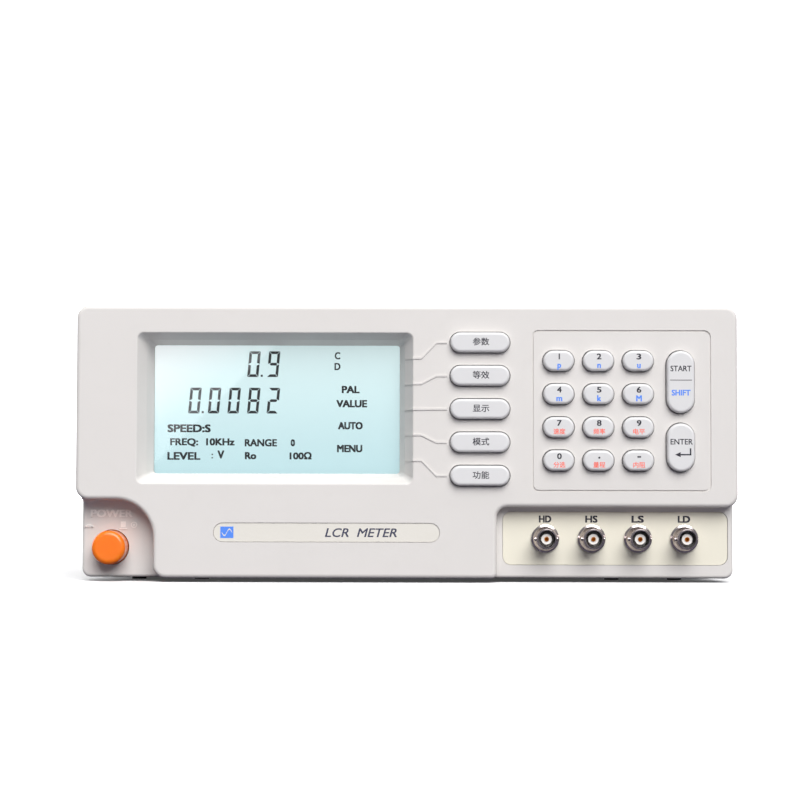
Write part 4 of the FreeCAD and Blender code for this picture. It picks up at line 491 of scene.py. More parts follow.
class Piece:
    """Collects shapes into one mesh in the instrument's frame.

    Flat work is drawn in millimetres from a middle point on the front or the rear face, and
    stands out from there towards the reader.
    """

    LATIN_CAP = 0.70  # cap height in a lettering size of 1
    HAN_CAP = 0.91
    HAN_MIDDLE = 0.42  # middle of a Han sign above its base line, in caps
    STRIKES = ((-0.5, -0.35), (0.5, -0.35), (-0.5, 0.35), (0.5, 0.35))
    THINNER = 0.06  # each strike is thinner than the last, so that no two tops coincide

    def __init__(self, name):
        self.name = name
        self.mesh = bmesh.new()

    def _take(self, mesh, place):
        mesh.transform(place)
        self.mesh.from_mesh(mesh)
        bpy.data.meshes.remove(mesh)

    @staticmethod
    def reading(spot, rear=False):
        """Turns flat work from the XY plane to face the reader at a spot."""
        turn = Euler((math.radians(90), 0, math.radians(180) if rear else 0)).to_matrix()
        return Matrix.Translation(spot) @ turn.to_4x4()

    def write(self, words, cap, spot, thick, width=None, align="CENTER", bold=0.0, lean=0.0,
              rear=False):
        """Lettering of a cap height and a width, level with a spot at its middle height.

        Bold lettering is struck four times, shifted by the added stroke.
        """
        curve = bpy.data.curves.new("lettering", "FONT")
        curve.body = words
        latin = all(ord(sign) < 0x2000 for sign in words)
        curve.size = cap / (self.LATIN_CAP if latin else self.HAN_CAP)
        curve.shear = lean
        curve.resolution_u = 3
        curve.extrude = thick / 2
        holder = bpy.data.objects.new("lettering", curve)
        mesh = bpy.data.meshes.new_from_object(holder)
        bpy.data.objects.remove(holder)
        bpy.data.curves.remove(curve)
        across = [vert.co.x for vert in mesh.vertices]
        left, right = min(across), max(across)
        spread = (width - bold) / (right - left) if width else 1.0
        anchor = left - bold / 2 / spread if align == "LEFT" else (left + right) / 2
        drop = cap / 2 if latin else cap * self.HAN_MIDDLE
        for number, (x, y) in enumerate(self.STRIKES if bold else ((0, 0),)):
            strike = mesh.copy()
            shift = (Matrix.Translation((x * bold, y * bold - drop, thick / 2))
                     @ Matrix.Diagonal((spread, 1, 1 - self.THINNER * number, 1))
                     @ Matrix.Translation((-anchor, 0, 0)))
            self._take(strike, self.reading(spot, rear) @ shift)
        bpy.data.meshes.remove(mesh)

    def slab(self, corners, spot, thick, rear=False):
        """A flat plate through corners given in millimetres from a spot."""
        lower = [self.mesh.verts.new((x * MM, y * MM, 0)) for x, y in corners]
        upper = [self.mesh.verts.new((x * MM, y * MM, thick)) for x, y in corners]
        made = [self.mesh.faces.new(list(reversed(lower))), self.mesh.faces.new(upper)]
        count = len(corners)
        for i in range(count):
            j = (i + 1) % count
            made.append(self.mesh.faces.new((lower[i], lower[j], upper[j], upper[i])))
        bmesh.ops.recalc_face_normals(self.mesh, faces=made)
        bmesh.ops.transform(self.mesh, matrix=self.reading(spot, rear), verts=lower + upper)

    def _arc(self, radius, height, count, steps, start=0.0, sweep=math.tau):
        """New corners along an arc; only its radius is in millimetres."""
        around = [start + sweep * i / steps for i in range(count)]
        return [self.mesh.verts.new((radius * MM * math.cos(turn), radius * MM * math.sin(turn),
                                     height)) for turn in around]

    def ring(self, outer, inner, spot, thick, steps=32, rear=False, start=0.0, sweep=math.tau):
        """A flat ring or part of one, its radii in millimetres."""
        whole = abs(sweep - math.tau) < 1e-6
        count = steps if whole else steps + 1
        loops = [self._arc(radius, height, count, steps, start, sweep)
                 for radius, height in ((inner, 0), (outer, 0), (outer, thick), (inner, thick))]
        made = []
        for i in range(count if whole else count - 1):
            j = (i + 1) % count
            for a, b in zip(loops, loops[1:] + loops[:1]):
                made.append(self.mesh.faces.new((a[i], a[j], b[j], b[i])))
        if not whole:
            for i in (0, count - 1):
                made.append(self.mesh.faces.new([loop[i] for loop in loops]))
        bmesh.ops.recalc_face_normals(self.mesh, faces=made)
        bmesh.ops.transform(self.mesh, matrix=self.reading(spot, rear),
                            verts=[vert for loop in loops for vert in loop])

    def lathe(self, profile, spot, turn=None, steps=24):
        """A turned solid: radius and height pairs in millimetres about the local Z axis."""
        loops = [self._arc(max(radius, 1e-4), height * MM, steps, steps)
                 for radius, height in profile]
        made = []
        for a, b in zip(loops, loops[1:]):
            for i in range(steps):
                j = (i + 1) % steps
                made.append(self.mesh.faces.new((a[i], a[j], b[j], b[i])))
        bmesh.ops.recalc_face_normals(self.mesh, faces=made)
        place = Matrix.Translation(spot) @ (turn or Matrix.Identity(4))
        bmesh.ops.transform(self.mesh, matrix=place, verts=[v for loop in loops for v in loop])

    def done(self, body, material, smooth=False):
        """Make the object, let it ride its body and give it its finish."""
        mesh = bpy.data.meshes.new(self.name)
        self.mesh.to_mesh(mesh)
        self.mesh.free()
        mesh.materials.append(material)
        if smooth:
            mesh.shade_smooth()
        piece = bpy.data.objects.new(self.name, mesh)
        bpy.context.scene.collection.objects.link(piece)
        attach(piece, body)
        return piece


def middle(node):
    """Middle of a CAD node's front face."""
    low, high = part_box(node)
    return Vector(((low.x + high.x) / 2, low.y, (low.z + high.z) / 2))


def on_face(x, face, z):
    """A spot on a face given in metres, across and up in millimetres."""
    return Vector((x * MM, face, z * MM))


def beside(spot, across, up):
    """A spot moved across and up in millimetres."""
    return spot + Vector((across * MM, 0, up * MM))


def oblong(half, foot, head):
    """Corners of an upright oblong: half its width, its lower and its upper edge."""
    return [(-half, foot), (half, foot), (half, head), (-half, head)]


def finished(slot):
    """The material that a slot was given."""
    return bpy.data.materials[f"finish_{slot}"]


def meter():
    """The property groups of the present scene."""
    scene = bpy.context.scene
    return scene.meter_colours, scene.meter_sizes, scene.meter_studio


def inks():
    """The printing inks by name, made once."""
    colours = meter()[0]
    return {
        name: bpy.data.materials.get(f"ink_{name}") or ink(f"ink_{name}",
                                                           getattr(colours, f"ink_{name}"))
        for name in ("black", "grey", "blue", "red", "slate", "display")
    }


# Operators


class METER_OT_finishes(bpy.types.Operator):
    """Give every CAD node the finish of its material slot"""

    bl_idname = "meter.finishes"
    bl_label = "Finishes"

    def execute(self, context):
        colours = meter()[0]
        made = {slot: build(f"finish_{slot}", colours).material
                for slot, build in FINISHES.items()}
        for part in frame["record"]["subparts"]:
            node = frame["nodes"][part["node"]]
            for holder in node.material_slots:
                holder.material = made[part["material_slot"]]
        return {"FINISHED"}


DIGIT_LEGENDS = {
    "key_1": ("1", "p", "blue"), "key_2": ("2", "n", "blue"), "key_3": ("3", "u", "blue"),
    "key_4": ("4", "m", "blue"), "key_5": ("5", "k", "blue"), "key_6": ("6", "M", "blue"),
    "key_7": ("7", "速度", "red"), "key_8": ("8", "频率", "red"), "key_9": ("9", "电平", "red"),
    "key_0": ("0", "分选", "red"), "key_point": ("·", "量程", "red"),
    "key_minus": ("-", "内阻", "red"),
}


class METER_OT_digit_legends(bpy.types.Operator):
    """Print the digits and their shifted second lines on the twelve digit keys"""

    bl_idname = "meter.digit_legends"
    bl_label = "Digit key legends"

    ASIDE = 0.2
    ROW = 2.0
    POINT_DROP = 0.7
    DIGIT_WIDTH = 2.2
    WORD_WIDTH = 5.6

    def execute(self, context):
        sizes = meter()[1]
        printing = inks()
        for node, (digit, second, shade) in DIGIT_LEGENDS.items():
            top = middle(node)
            first = Piece(f"{node}_digit")
            upper = beside(top, self.ASIDE, self.ROW)
            if digit == "·":
                first.ring(0.5, 0.0001, beside(upper, 0, -self.POINT_DROP), sizes.ink, steps=16)
            elif digit == "-":
                first.slab(oblong(0.85, -0.6, 0.1), upper, sizes.ink)
            else:
                first.write(digit, sizes.digit_cap, upper, sizes.ink, bold=0.24 * MM,
                            width=None if digit == "1" else self.DIGIT_WIDTH * MM)
            first.done(node, printing["black"])
            under = Piece(f"{node}_second")
            lower = beside(top, self.ASIDE, -self.ROW)
            if shade == "blue":
                under.write(second, sizes.shift_cap * 1.08, lower, sizes.ink, bold=0.30 * MM)
            else:
                under.write(second, sizes.shift_cap * 1.06, lower, sizes.ink, bold=0.08 * MM,
                            width=self.WORD_WIDTH * MM)
            under.done(node, printing[shade])
        return {"FINISHED"}


class METER_OT_soft_legends(bpy.types.Operator):
    """Print the function words on the five soft keys"""

    bl_idname = "meter.soft_legends"
    bl_label = "Soft key legends"

    WORDS = ("参数", "等效", "显示", "模式", "功能")

    def execute(self, context):
        sizes = meter()[1]
        printing = inks()
        for number, words in enumerate(self.WORDS, start=1):
            node = f"softkey_{number}"
            legend = Piece(f"{node}_legend")
            legend.write(words, sizes.soft_cap, beside(middle(node), 0.4, 0.3), sizes.ink,
                         width=7.8 * MM, bold=0.10 * MM)
            legend.done(node, printing["black"])
        return {"FINISHED"}


class METER_OT_action_legends(bpy.types.Operator):
    """Print start, shift and enter on the two tall keys"""

    bl_idname = "meter.action_legends"
    bl_label = "Start and enter legends"

    def execute(self, context):
        sizes = meter()[1]
        printing = inks()
        start = middle("key_start")

        def word(piece, text, key, shade, spot, wide, bold):
            legend = Piece(piece)
            legend.write(text, sizes.action_cap, spot, sizes.ink, width=wide * MM, bold=bold * MM)
            legend.done(key, printing[shade])

        word("key_start_word", "START", "key_start", "black", beside(start, 0, 6.3), 9.9, 0.12)
        rule = Piece("key_start_rule")
        rule.slab(oblong(5.2, -0.17, 0.17), beside(start, 0, 0.8), sizes.ink)
        rule.done("key_start", printing["grey"])
        word("key_start_shift", "SHIFT", "key_start", "blue", beside(start, 0, -5.1), 8.9, 0.26)
        enter = middle("key_enter")
        word("key_enter_word", "ENTER", "key_enter", "black", beside(enter, 0.2, 2.7), 10.5, 0.12)
        arrow = Piece("key_enter_arrow")
        arrow.slab([(-2.9, -3.4), (-0.3, -2.2), (-0.3, -3.1), (4.0, -3.1), (4.0, -0.4),
                    (4.7, -0.4), (4.7, -3.75), (-0.3, -3.75), (-0.3, -4.6)], enter, sizes.ink)
        arrow.done("key_enter", printing["black"])
        return {"FINISHED"}


SEGMENTS = {"0": "abcdef", "2": "abged", "8": "abcdefg", "9": "abcdfg"}


def seven_segments(piece, digit, spot, width, height, thick, breadth):
    """A slanted seven-segment digit: mitred bars with small gaps between them."""
    half, tall, bar, gap = width / 2, height / 2, breadth, breadth * 0.1
    lean = 0.09
    waist = bar * 0.4

    def level(x_left, x_right, z, inward):
        b = bar * inward
        return [(x_left + gap, z), (x_right - gap, z), (x_right - gap - bar, z + b),
                (x_left + gap + bar, z + b)]

    def upright(x, z_low, z_high, inward):
        b = bar * inward
        foot = bar if z_low < 0 else waist
        head = bar if z_high > 0 else waist
        return [(x, z_low + gap), (x + b, z_low + gap + foot),
                (x + b, z_high - gap - head), (x, z_high - gap)]

    shapes = {
        "a": level(-half, half, tall, -1), "d": level(-half, half, -tall, 1),
        "g": [(-half + gap + bar * 0.5, 0), (-half + gap + bar, bar / 2),
              (half - gap - bar, bar / 2), (half - gap - bar * 0.5, 0),
              (half - gap - bar, -bar / 2), (-half + gap + bar, -bar / 2)],
        "f": upright(-half, 0, tall, 1), "b": upright(half, 0, tall, -1),
        "e": upright(-half, -tall, 0, 1), "c": upright(half, -tall, 0, -1),
    }
    for name in SEGMENTS[digit]:
        piece.slab([(x + z * lean, z) for x, z in shapes[name]], spot, thick)


class METER_OT_display(bpy.types.Operator):
    """Draw the readings and the words on the lit display"""

    bl_idname = "meter.display"
    bl_label = "Display content"

    FIRST_COLUMN = -102.0
    COLUMN_PITCH = 9.45
    DIGIT_WIDTH = 5.4
    DIGIT_HEIGHT = 12.4
    POINT_ASIDE = 0.40  # of the column pitch
    POINT_DROP = 5.6
    READINGS = (
        # height, digits by column, column that the point follows
        (104.15, ((3, "0"), (4, "9")), 3),
        (86.55, ((0, "0"), (1, "0"), (2, "0"), (3, "8"), (4, "2")), 0),
    )
    WORDS = (
        # words, cap height, width, x, z, added stroke, alignment
        ("C", 3.3, 2.7, -33.4, 108.3, 0.28, "CENTER"),
        ("D", 3.3, 2.9, -33.4, 103.1, 0.3, "CENTER"),
        ("PAL", 3.3, 8.6, -27.0, 92.0, 0.46, "CENTER"),
        ("VALUE", 3.3, 14.8, -26.5, 85.2, 0.46, "CENTER"),
        ("AUTO", 3.3, 11.9, -27.1, 74.6, 0.46, "CENTER"),
        ("MENU", 3.3, 12.2, -27.4, 63.6, 0.46, "CENTER"),
        ("SPEED:S", 3.5, 20.8, -115.1, 73.2, 0.50, "LEFT"),
        ("FREQ:", 3.2, 13.5, -113.8, 66.7, 0.38, "LEFT"),
        ("10KHz", 3.2, 13.7, -96.5, 66.7, 0.44, "LEFT"),
        ("RANGE", 3.3, 15.5, -77.9, 66.3, 0.38, "LEFT"),
        ("0", 3.1, 2.1, -55.8, 66.3, 0.44, "LEFT"),
        ("LEVEL", 3.5, 15.9, -115.1, 59.9, 0.44, "LEFT"),
        (":", 3.3, 0.8, -93.9, 60.4, 0.1, "LEFT"),
        ("V", 3.8, 3.3, -91.0, 60.6, 0.42, "LEFT"),
        ("Ro", 3.2, 5.5, -77.8, 60.1, 0.46, "LEFT"),
        ("100Ω", 3.1, 10.6, -56.3, 60.0, 0.42, "LEFT"),
    )

    def execute(self, context):
        sizes = meter()[1]
        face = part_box("lcd_glass")[0].y
        thick = sizes.ink
        readings = Piece("lcd_readings")
        for height, digits, point in self.READINGS:
            for column, digit in digits:
                x = self.FIRST_COLUMN + column * self.COLUMN_PITCH
                seven_segments(readings, digit, on_face(x, face, height), self.DIGIT_WIDTH,
                               self.DIGIT_HEIGHT, thick, sizes.segment / MM)
            x = self.FIRST_COLUMN + (point + self.POINT_ASIDE) * self.COLUMN_PITCH
            readings.slab(oblong(0.5, -0.5, 0.5), on_face(x, face, height - self.POINT_DROP),
                          thick)
        readings.done("root", inks()["display"])
        words = Piece("lcd_words")
        for text, cap, width, x, z, bold, align in self.WORDS:
            words.write(text, cap * MM, on_face(x, face, z), thick, width * MM, align, bold * MM)
        words.done("root", inks()["display"])
        return {"FINISHED"}


class METER_OT_power_marks(bpy.types.Operator):
    """Raise the moulded word and the push symbols over the power button"""

    bl_idname = "meter.power_marks"
    bl_label = "Power marks"

    FLOOR = -142.0
    WORD = (-141.0, 32.3)
    ARCH = -151.9  # across to the middle of each mark
    PLUNGER = -135.4
    LAMP = (-130.3, 26.8)

    def execute(self, context):
        sizes = meter()[1]
        # The marks take the lighter copy of the bezel plastic, a painted highlight.
        plastic = highlit_raised_marks("finish_raised_marks", meter()[0]).material
        high = sizes.raised

        def at(x, z):
            return on_face(x, self.FLOOR * MM, z)

        word = Piece("power_word")
        word.write("POWER", 3.4 * MM, at(*self.WORD), high, width=20.0 * MM, bold=0.30 * MM)
        word.done("root", plastic)
        marks = Piece("power_symbols")
        marks.ring(2.2, 1.5, at(self.ARCH, 24.9), high, steps=14, start=math.radians(25),
                   sweep=math.radians(130))
        marks.slab(oblong(2.2, 0, 0.45), at(self.ARCH, 25.5), high)
        marks.slab([(-2.0, 0), (2.0, 0), (1.6, 0.6), (-1.6, 0.6)], at(self.PLUNGER, 24.7), high)
        marks.slab(oblong(1.2, 0, 2.7), at(self.PLUNGER, 25.7), high * 0.7)
        marks.ring(1.5, 1.05, at(*self.LAMP), high, steps=24)
        marks.slab([(0, -0.7), (0.6, 0), (0, 0.7), (-0.6, 0)], at(*self.LAMP), high)
        marks.done("root", plastic)
        return {"FINISHED"}


class METER_OT_front_lettering(bpy.types.Operator):
    """Print the nameplate and the labels over the four jacks"""

    bl_idname = "meter.front_lettering"
    bl_label = "Nameplate and terminal labels"

    LABELS = (("HD", "hd"), ("HS", "hs"), ("LS", "ls"), ("LD", "ld"))
    LABEL_RISE = 9.3
    WORDS_ASIDE = 16.2
    BADGE_ASIDE = -47.0
    WAVE_LENGTH = 4.8
    WAVE_HEIGHT = 1.5
    WAVE_HALF = 0.3  # half the breadth of the line

    def execute(self, context):
        sizes = meter()[1]
        plate = middle("nameplate")
        name = Piece("nameplate_lettering")
        name.write("LCR  METER", sizes.name_cap, beside(plate, self.WORDS_ASIDE, 0), sizes.ink,
                   lean=0.25, bold=0.16 * MM, width=33.9 * MM)
        name.done("root", inks()["slate"])
        self.badge(beside(plate, self.BADGE_ASIDE, 0), sizes.ink)
        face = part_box("terminal_plate")[0].y
        labels = Piece("terminal_labels")
        for words, tag in self.LABELS:
            jack = middle(f"bnc_shell_{tag}")
            spot = Vector((jack.x, face, jack.z + self.LABEL_RISE * MM))
            labels.write(words, sizes.terminal_cap, spot, sizes.ink, width=5.9 * MM,
                         bold=0.42 * MM)
        labels.done("root", inks()["black"])
        return {"FINISHED"}

    def badge(self, spot, thick):
        """A blue tile with a plain sine wave."""
        tile = Piece("nameplate_tile")
        tile.slab(oblong(3.1, -2.7, 2.7), spot, thick)
        tile.done("root", inks()["blue"])
        wave = Piece("nameplate_wave")
        points = [(x / 10, self.WAVE_HEIGHT * math.sin(x / 10 * math.tau / self.WAVE_LENGTH))
                  for x in range(-24, 25, 2)]
        lower = [(x, y - self.WAVE_HALF) for x, y in points]
        upper = [(x, y + self.WAVE_HALF) for x, y in reversed(points)]
        wave.slab(lower + upper, spot, thick * 1.5)
        wave.done("root", finished("nameplate_cream"))


class METER_OT_fasteners(bpy.types.Operator):
    """Domed heads over the case screws, each with a black cross in its cup as painted shade for a
    cross recess
    """

    bl_idname = "meter.fasteners"
    bl_label = "Case screw heads"

    ALONG = (-105.0, 0.0, 105.0)
    UP = 16.0
    SET_IN = 1.0
    DOME = ((3.12, -0.8), (3.12, 0.2), (2.7, 0.7), (1.9, 0.92), (1.1, 0.99), (1.1, 0.4),
            (0.0, 0.2))
    SLOT = (1.3, -0.28, 0.28)
    SLOT_FLOOR = 0.40
    SLOT_TOP = 0.86
    SPIN = 20

    def execute(self, context):
        low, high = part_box("case_screws")
        heads = Piece("screw_domes")
        # Painted shade: the dark of each cross recess is a black cross standing in the head's cup.
        recess_shade = Piece("screw_recesses")
        for side, y in [(side, y) for side in (-1, 1) for y in self.ALONG]:
            face = high.x if side > 0 else low.x
            turn = Euler((0, math.radians(90 * side), 0)).to_matrix().to_4x4()
            spot = Vector((face - side * self.SET_IN * MM, y * MM, self.UP * MM))
            heads.lathe(self.DOME, spot, turn)
            place = Matrix.Translation(spot) @ turn
            for spin in (0, 90):
                arm = place @ Matrix.Rotation(math.radians(spin + self.SPIN), 4, "Z")
                verts = [recess_shade.mesh.verts.new(arm @ Vector((x * MM, z * MM, h * MM)))
                         for h in (self.SLOT_FLOOR, self.SLOT_TOP) for x, z in oblong(*self.SLOT)]
                recess_shade.mesh.faces.new(verts[4:])
                for i in range(4):
                    j = (i + 1) % 4
                    recess_shade.mesh.faces.new((verts[i], verts[j], verts[4 + j], verts[4 + i]))
        heads.done("root", finished("plated_steel"), smooth=True)
        recess_shade.done("root", finished("black_plastic"))
        return {"FINISHED"}


class METER_OT_rear_details(bpy.types.Operator):
    """Contacts, jack screws, knurling and plain words on the rear panel"""

    bl_idname = "meter.rear_details"
    bl_label = "Rear panel details"

    CONNECTORS = (
        # node, contacts in each row, pitch, jack screw from the middle
        ("serial_port", (5, 4), 2.76, 12.5),
        ("handler_port", (18, 18), 2.16, 30.5),
    )
    INSERT_HALF = 2.6
    ROW = 1.25
    FLANGE = 1.15
    JACK_SCREW = ((2.7, 0), (2.7, 4.6), (2.3, 5.0), (1.3, 5.0), (1.3, 1.5), (0, 1.5))
    BLADES = ((-115.0, 42.0), (-108.0, 46.0), (-101.0, 42.0))
    BLADE_FOOT = 14.5
    SLEEVE = (1.06, -2.06, 2.06)
    SLEEVE_LENGTH = 11.06
    RIBS = 30
    RIB_HALF = 0.32
    RIB_FOOT = 4.95
    RIB_CREST = 5.3
    RIB_ENDS = (6.4, 1.4)
    LABELS = (("FUSE", -108.0, 14.2), ("AC INPUT", -108.0, 61.5), ("RS232C", 18.0, 54.0),
              ("HANDLER", 78.0, 54.0))
    EARTH_SIGN = (112.0, 33.4)

    def execute(self, context):
        steel = finished("plated_steel")
        for connector in self.CONNECTORS:
            self.connector(*connector, steel)
        self.blades(steel)
        self.knurl(steel)
        self.words()
        return {"FINISHED"}

    def connector(self, node, rows, pitch, screw_x, steel):
        """A dark insert with rows of contacts, and a hexagonal jack screw at each side."""
        low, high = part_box(node)
        centre = Vector(((low.x + high.x) / 2, high.y, (low.z + high.z) / 2))
        wide = rows[0] * pitch / 2 + 0.6
        tall = self.INSERT_HALF
        insert = Piece(f"{node}_insert")
        insert.slab([(-wide, -tall), (wide, -tall), (wide, 1.2), (wide - 0.8, tall),
                     (0.8 - wide, tall), (-wide, 1.2)], centre - Vector((0, 0.2 * MM, 0)),
                    0.17 * MM, rear=True)
        insert.done("root", finished("black_plastic"))
        pins = Piece(f"{node}_contacts")
        for count, z in zip(rows, (self.ROW, -self.ROW)):
            for i in range(count):
                x = (i - (count - 1) / 2) * pitch
                pins.ring(0.55, 0.22, centre + Vector((x * MM, -0.1 * MM, z * MM)), 0.09 * MM,
                          steps=12, rear=True)
        pins.done("root", finished("contact_gilt"))
        nuts = Piece(f"{node}_jack_screws")
        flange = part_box("rear_panel")[1].y + self.FLANGE * MM
        turn = Euler((math.radians(-90), 0, 0)).to_matrix().to_4x4()
        for side in (-1, 1):
            spot = Vector((centre.x + side * screw_x * MM, flange, centre.z))
            nuts.lathe(self.JACK_SCREW, spot, turn, steps=6)
        nuts.done("root", steel)

    def blades(self, steel):
        """Plated sleeves over the three blades of the mains inlet."""
        sleeves = Piece("inlet_blades")
        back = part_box("rear_panel")[1].y - self.BLADE_FOOT * MM
        for x, z in self.BLADES:
            sleeves.slab(oblong(*self.SLEEVE), on_face(x, back, z), self.SLEEVE_LENGTH * MM,
                         rear=True)
        sleeves.done("root", steel)

    def knurl(self, steel):
        """Straight knurling round the earth terminal's knob."""
        low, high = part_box("earth_terminal")
        axis = Vector(((low.x + high.x) / 2, 0, (low.z + high.z) / 2))
        ribs = Piece("earth_knurl")
        for i in range(self.RIBS):
            around = math.tau * i / self.RIBS
            out = Vector((math.cos(around), 0, math.sin(around)))
            across = Vector((-math.sin(around), 0, math.cos(around))) * self.RIB_HALF * MM
            verts = []
            for end in self.RIB_ENDS:
                base = axis + Vector((0, high.y - end * MM, 0))
                verts += [base + out * self.RIB_FOOT * MM - across,
                          base + out * self.RIB_CREST * MM,
                          base + out * self.RIB_FOOT * MM + across]
            verts = [ribs.mesh.verts.new(vert) for vert in verts]
            ribs.mesh.faces.new((verts[0], verts[1], verts[4], verts[3]))
            ribs.mesh.faces.new((verts[1], verts[2], verts[5], verts[4]))
            ribs.mesh.faces.new(verts[:3])
            ribs.mesh.faces.new(verts[3:])
        bmesh.ops.recalc_face_normals(ribs.mesh, faces=ribs.mesh.faces)
        ribs.done("root", steel)

    def words(self):
        """Plain words beside the sockets, and an earth symbol."""
        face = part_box("rear_panel")[1].y
        film = 0.03 * MM
        label = Piece("rear_words")
        for words, x, z in self.LABELS:
            label.write(words, 3.0 * MM, on_face(x, face, z), film, bold=0.16 * MM, rear=True)
        x, z = self.EARTH_SIGN
        sign = [oblong(0.25, 0, 2.4)]
        sign += [oblong(wide, drop - 0.2, drop + 0.2)
                 for wide, drop in ((2.2, 0.0), (1.4, -0.9), (0.6, -1.8))]
        for corners in sign:
            label.slab(corners, on_face(x, face, z), film, rear=True)
        label.done("root", inks()["black"])


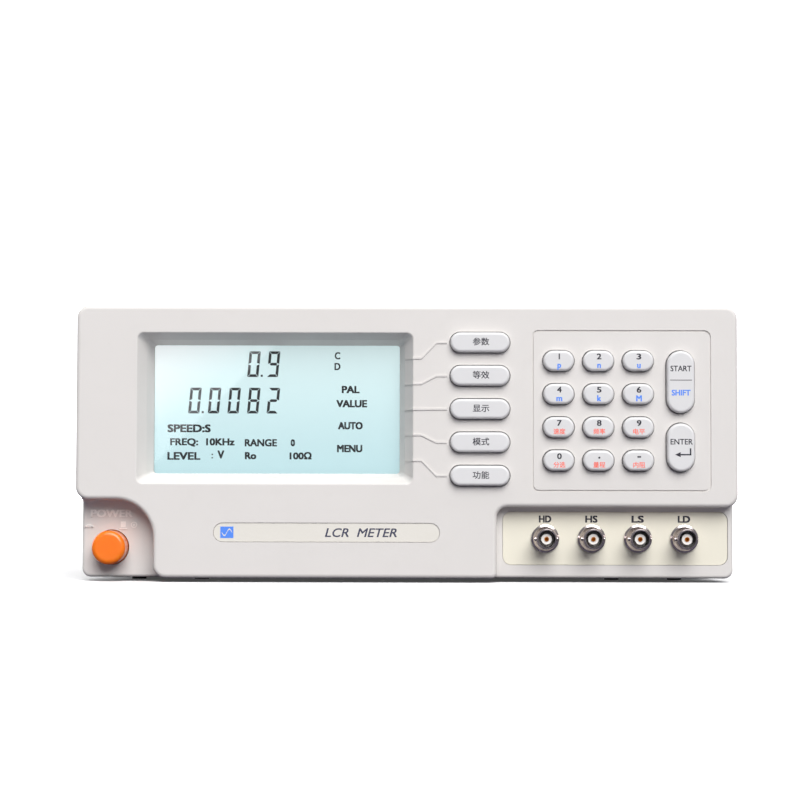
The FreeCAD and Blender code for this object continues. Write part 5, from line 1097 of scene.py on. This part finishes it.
class METER_OT_stage(bpy.types.Operator):
    """Set the camera, the floor and the soft studio light"""

    bl_idname = "meter.stage"
    bl_label = "Studio"

    SENSOR = 36.0
    NEAREST = 0.05
    HALF_FLOOR = 40.0
    FLOORS = (
        # name, two shades, glow, height, paths that it's left out of
        ("floor", (0.95, 0.95, 0.95), (0.97, 0.97, 0.97), 0.06, 0.0,
         ("diffuse", "glossy", "transmission")),
        ("floor_bounce", (0.27, 0.26, 0.33), (0.29, 0.28, 0.36), 0.0, -0.0005,
         ("camera", "shadow")),
    )
    KEY_FROM = (0.25, -1.0, 0.85)
    BACK_FROM = (-0.8, 0.5, 0.35)
    STRIP_SIZE = (0.9, 0.25)
    STRIP_PLACE = (0.05, -0.27, 0.65)
    STRIP_AIM = (0, -0.15, 0.05)
    CLOTH = ((0.98, 0.98, 0.98), (1.0, 1.0, 1.0))
    BACKDROP = ((-9, 7, -0.1), (9, 7, -0.1), (9, 7, 8), (-9, 7, 8))
    REFLECTOR = ((-0.1624, -1.9, 0.2597), (-0.62, -1.9, 0.60), (-0.62, -1.9, 0.08),
                 (-0.3558, -1.9, 0.067))
    SKY = (0.93, 0.95, 1, 1)

    def execute(self, context):
        studio = meter()[2]
        self.camera(studio)
        self.floor()
        self.lights(studio)
        context.scene.view_settings.view_transform = "Standard"
        return {"FINISHED"}

    def camera(self, studio):
        data = bpy.data.cameras.new("camera")
        data.lens = studio.lens
        data.sensor_width = self.SENSOR
        data.clip_start = self.NEAREST
        camera = bpy.data.objects.new("camera", data)
        place = Vector((studio.camera_side, -studio.camera_back, studio.camera_up))
        turn = (Matrix.Rotation(studio.camera_yaw, 4, "Z")
                @ Matrix.Rotation(math.radians(90) + studio.camera_pitch, 4, "X")
                @ Matrix.Rotation(studio.camera_roll, 4, "Z"))
        camera.matrix_world = Matrix.Translation(place) @ turn
        bpy.context.scene.collection.objects.link(camera)
        bpy.context.scene.camera = camera

    def sheet(self, name, corners, material, hidden=()):
        """A flat sheet of the studio, left out of some kinds of light path."""
        mesh = bpy.data.meshes.new(name)
        mesh.from_pydata(corners, [], [tuple(range(len(corners)))])
        mesh.materials.append(material)
        sheet = bpy.data.objects.new(name, mesh)
        for kind in hidden:
            setattr(sheet, f"visible_{kind}", False)
        bpy.context.scene.collection.objects.link(sheet)

    def pale(self, name, low, high, glow=0.0):
        """Matt pale board, or lit white cloth."""
        finish = Finish(name)
        fibre = finish.noise(0.004, 3.0)
        body = finish.mix(fibre, low, high)
        finish.set(Base_Color=body, Roughness=fibre * 0.1 + 0.85, Specular_IOR_Level=0.1,
                   Emission_Color=body, Emission_Strength=glow)
        return finish.material

    def floor(self):
        """A white bench top that only the camera sees, and a duller one that returns light."""
        half = self.HALF_FLOOR
        for name, low, high, glow, height, hidden in self.FLOORS:
            corners = [(x, y, height) for x, y in oblong(half, -half, half)]
            self.sheet(name, corners, self.pale(f"stage_{name}", low, high, glow), hidden)

    def lights(self, studio):
        """A soft key from the front, weaker light behind, a strip overhead and white cloth.

        The reflector is for the window's gloss alone.
        """
        for name, strength, origin in (("key_light", studio.key_strength, self.KEY_FROM),
                                       ("back_light", studio.back_strength, self.BACK_FROM)):
            data = bpy.data.lights.new(name, "SUN")
            data.energy = strength
            data.angle = studio.key_softness
            lamp = bpy.data.objects.new(name, data)
            lamp.rotation_euler = Vector(origin).to_track_quat("Z", "Y").to_euler()
            bpy.context.scene.collection.objects.link(lamp)
        data = bpy.data.lights.new("strip_light", "AREA")
        data.shape = "RECTANGLE"
        data.size, data.size_y = self.STRIP_SIZE
        data.energy = studio.strip_power
        lamp = bpy.data.objects.new("strip_light", data)
        place = Vector(self.STRIP_PLACE)
        lamp.location = place
        lamp.rotation_euler = (place - Vector(self.STRIP_AIM)).to_track_quat("Z", "Y").to_euler()
        lamp.visible_camera = False
        bpy.context.scene.collection.objects.link(lamp)
        cloth = self.pale("stage_backdrop", *self.CLOTH, studio.backdrop)
        self.sheet("backdrop", self.BACKDROP, cloth)
        card = self.pale("stage_reflector", *self.CLOTH, studio.reflector)
        self.sheet("reflector", self.REFLECTOR, card, ("camera", "diffuse", "shadow"))
        world = bpy.data.worlds.new("surround")
        world.use_nodes = True
        back = world.node_tree.nodes["Background"]
        back.inputs["Color"].default_value = self.SKY
        back.inputs["Strength"].default_value = studio.surround
        bpy.context.scene.world = world


# Panel and register


OPERATORS = (
    METER_OT_finishes, METER_OT_digit_legends, METER_OT_soft_legends, METER_OT_action_legends,
    METER_OT_display, METER_OT_power_marks, METER_OT_front_lettering, METER_OT_fasteners,
    METER_OT_rear_details, METER_OT_stage,
)


class METER_PT_sidebar(bpy.types.Panel):
    """The meter's pieces in the sidebar of the 3D view"""

    bl_label = "LCR Meter"
    bl_idname = "METER_PT_sidebar"
    bl_space_type = "VIEW_3D"
    bl_region_type = "UI"
    bl_category = "LCR Meter"

    def draw(self, context):
        for operator in OPERATORS:
            self.layout.operator(operator.bl_idname)
        for group in meter():
            column = self.layout.column()
            for name in type(group).__annotations__:
                column.prop(group, name)


CLASSES = (MeterColours, MeterSizes, MeterStudio, *OPERATORS, METER_PT_sidebar)


def register():
    for each in CLASSES:
        bpy.utils.register_class(each)
    bpy.types.Scene.meter_colours = PointerProperty(type=MeterColours)
    bpy.types.Scene.meter_sizes = PointerProperty(type=MeterSizes)
    bpy.types.Scene.meter_studio = PointerProperty(type=MeterStudio)


def unregister():
    del bpy.types.Scene.meter_studio
    del bpy.types.Scene.meter_sizes
    del bpy.types.Scene.meter_colours
    for each in reversed(CLASSES):
        bpy.utils.unregister_class(each)


def main():
    """Build every piece in order."""
    register()
    bpy.ops.meter.finishes()
    bpy.ops.meter.digit_legends()
    bpy.ops.meter.soft_legends()
    bpy.ops.meter.action_legends()
    bpy.ops.meter.display()
    bpy.ops.meter.power_marks()
    bpy.ops.meter.front_lettering()
    bpy.ops.meter.fasteners()
    bpy.ops.meter.rear_details()
    bpy.ops.meter.stage()


if __name__ == "__main__":
    main()
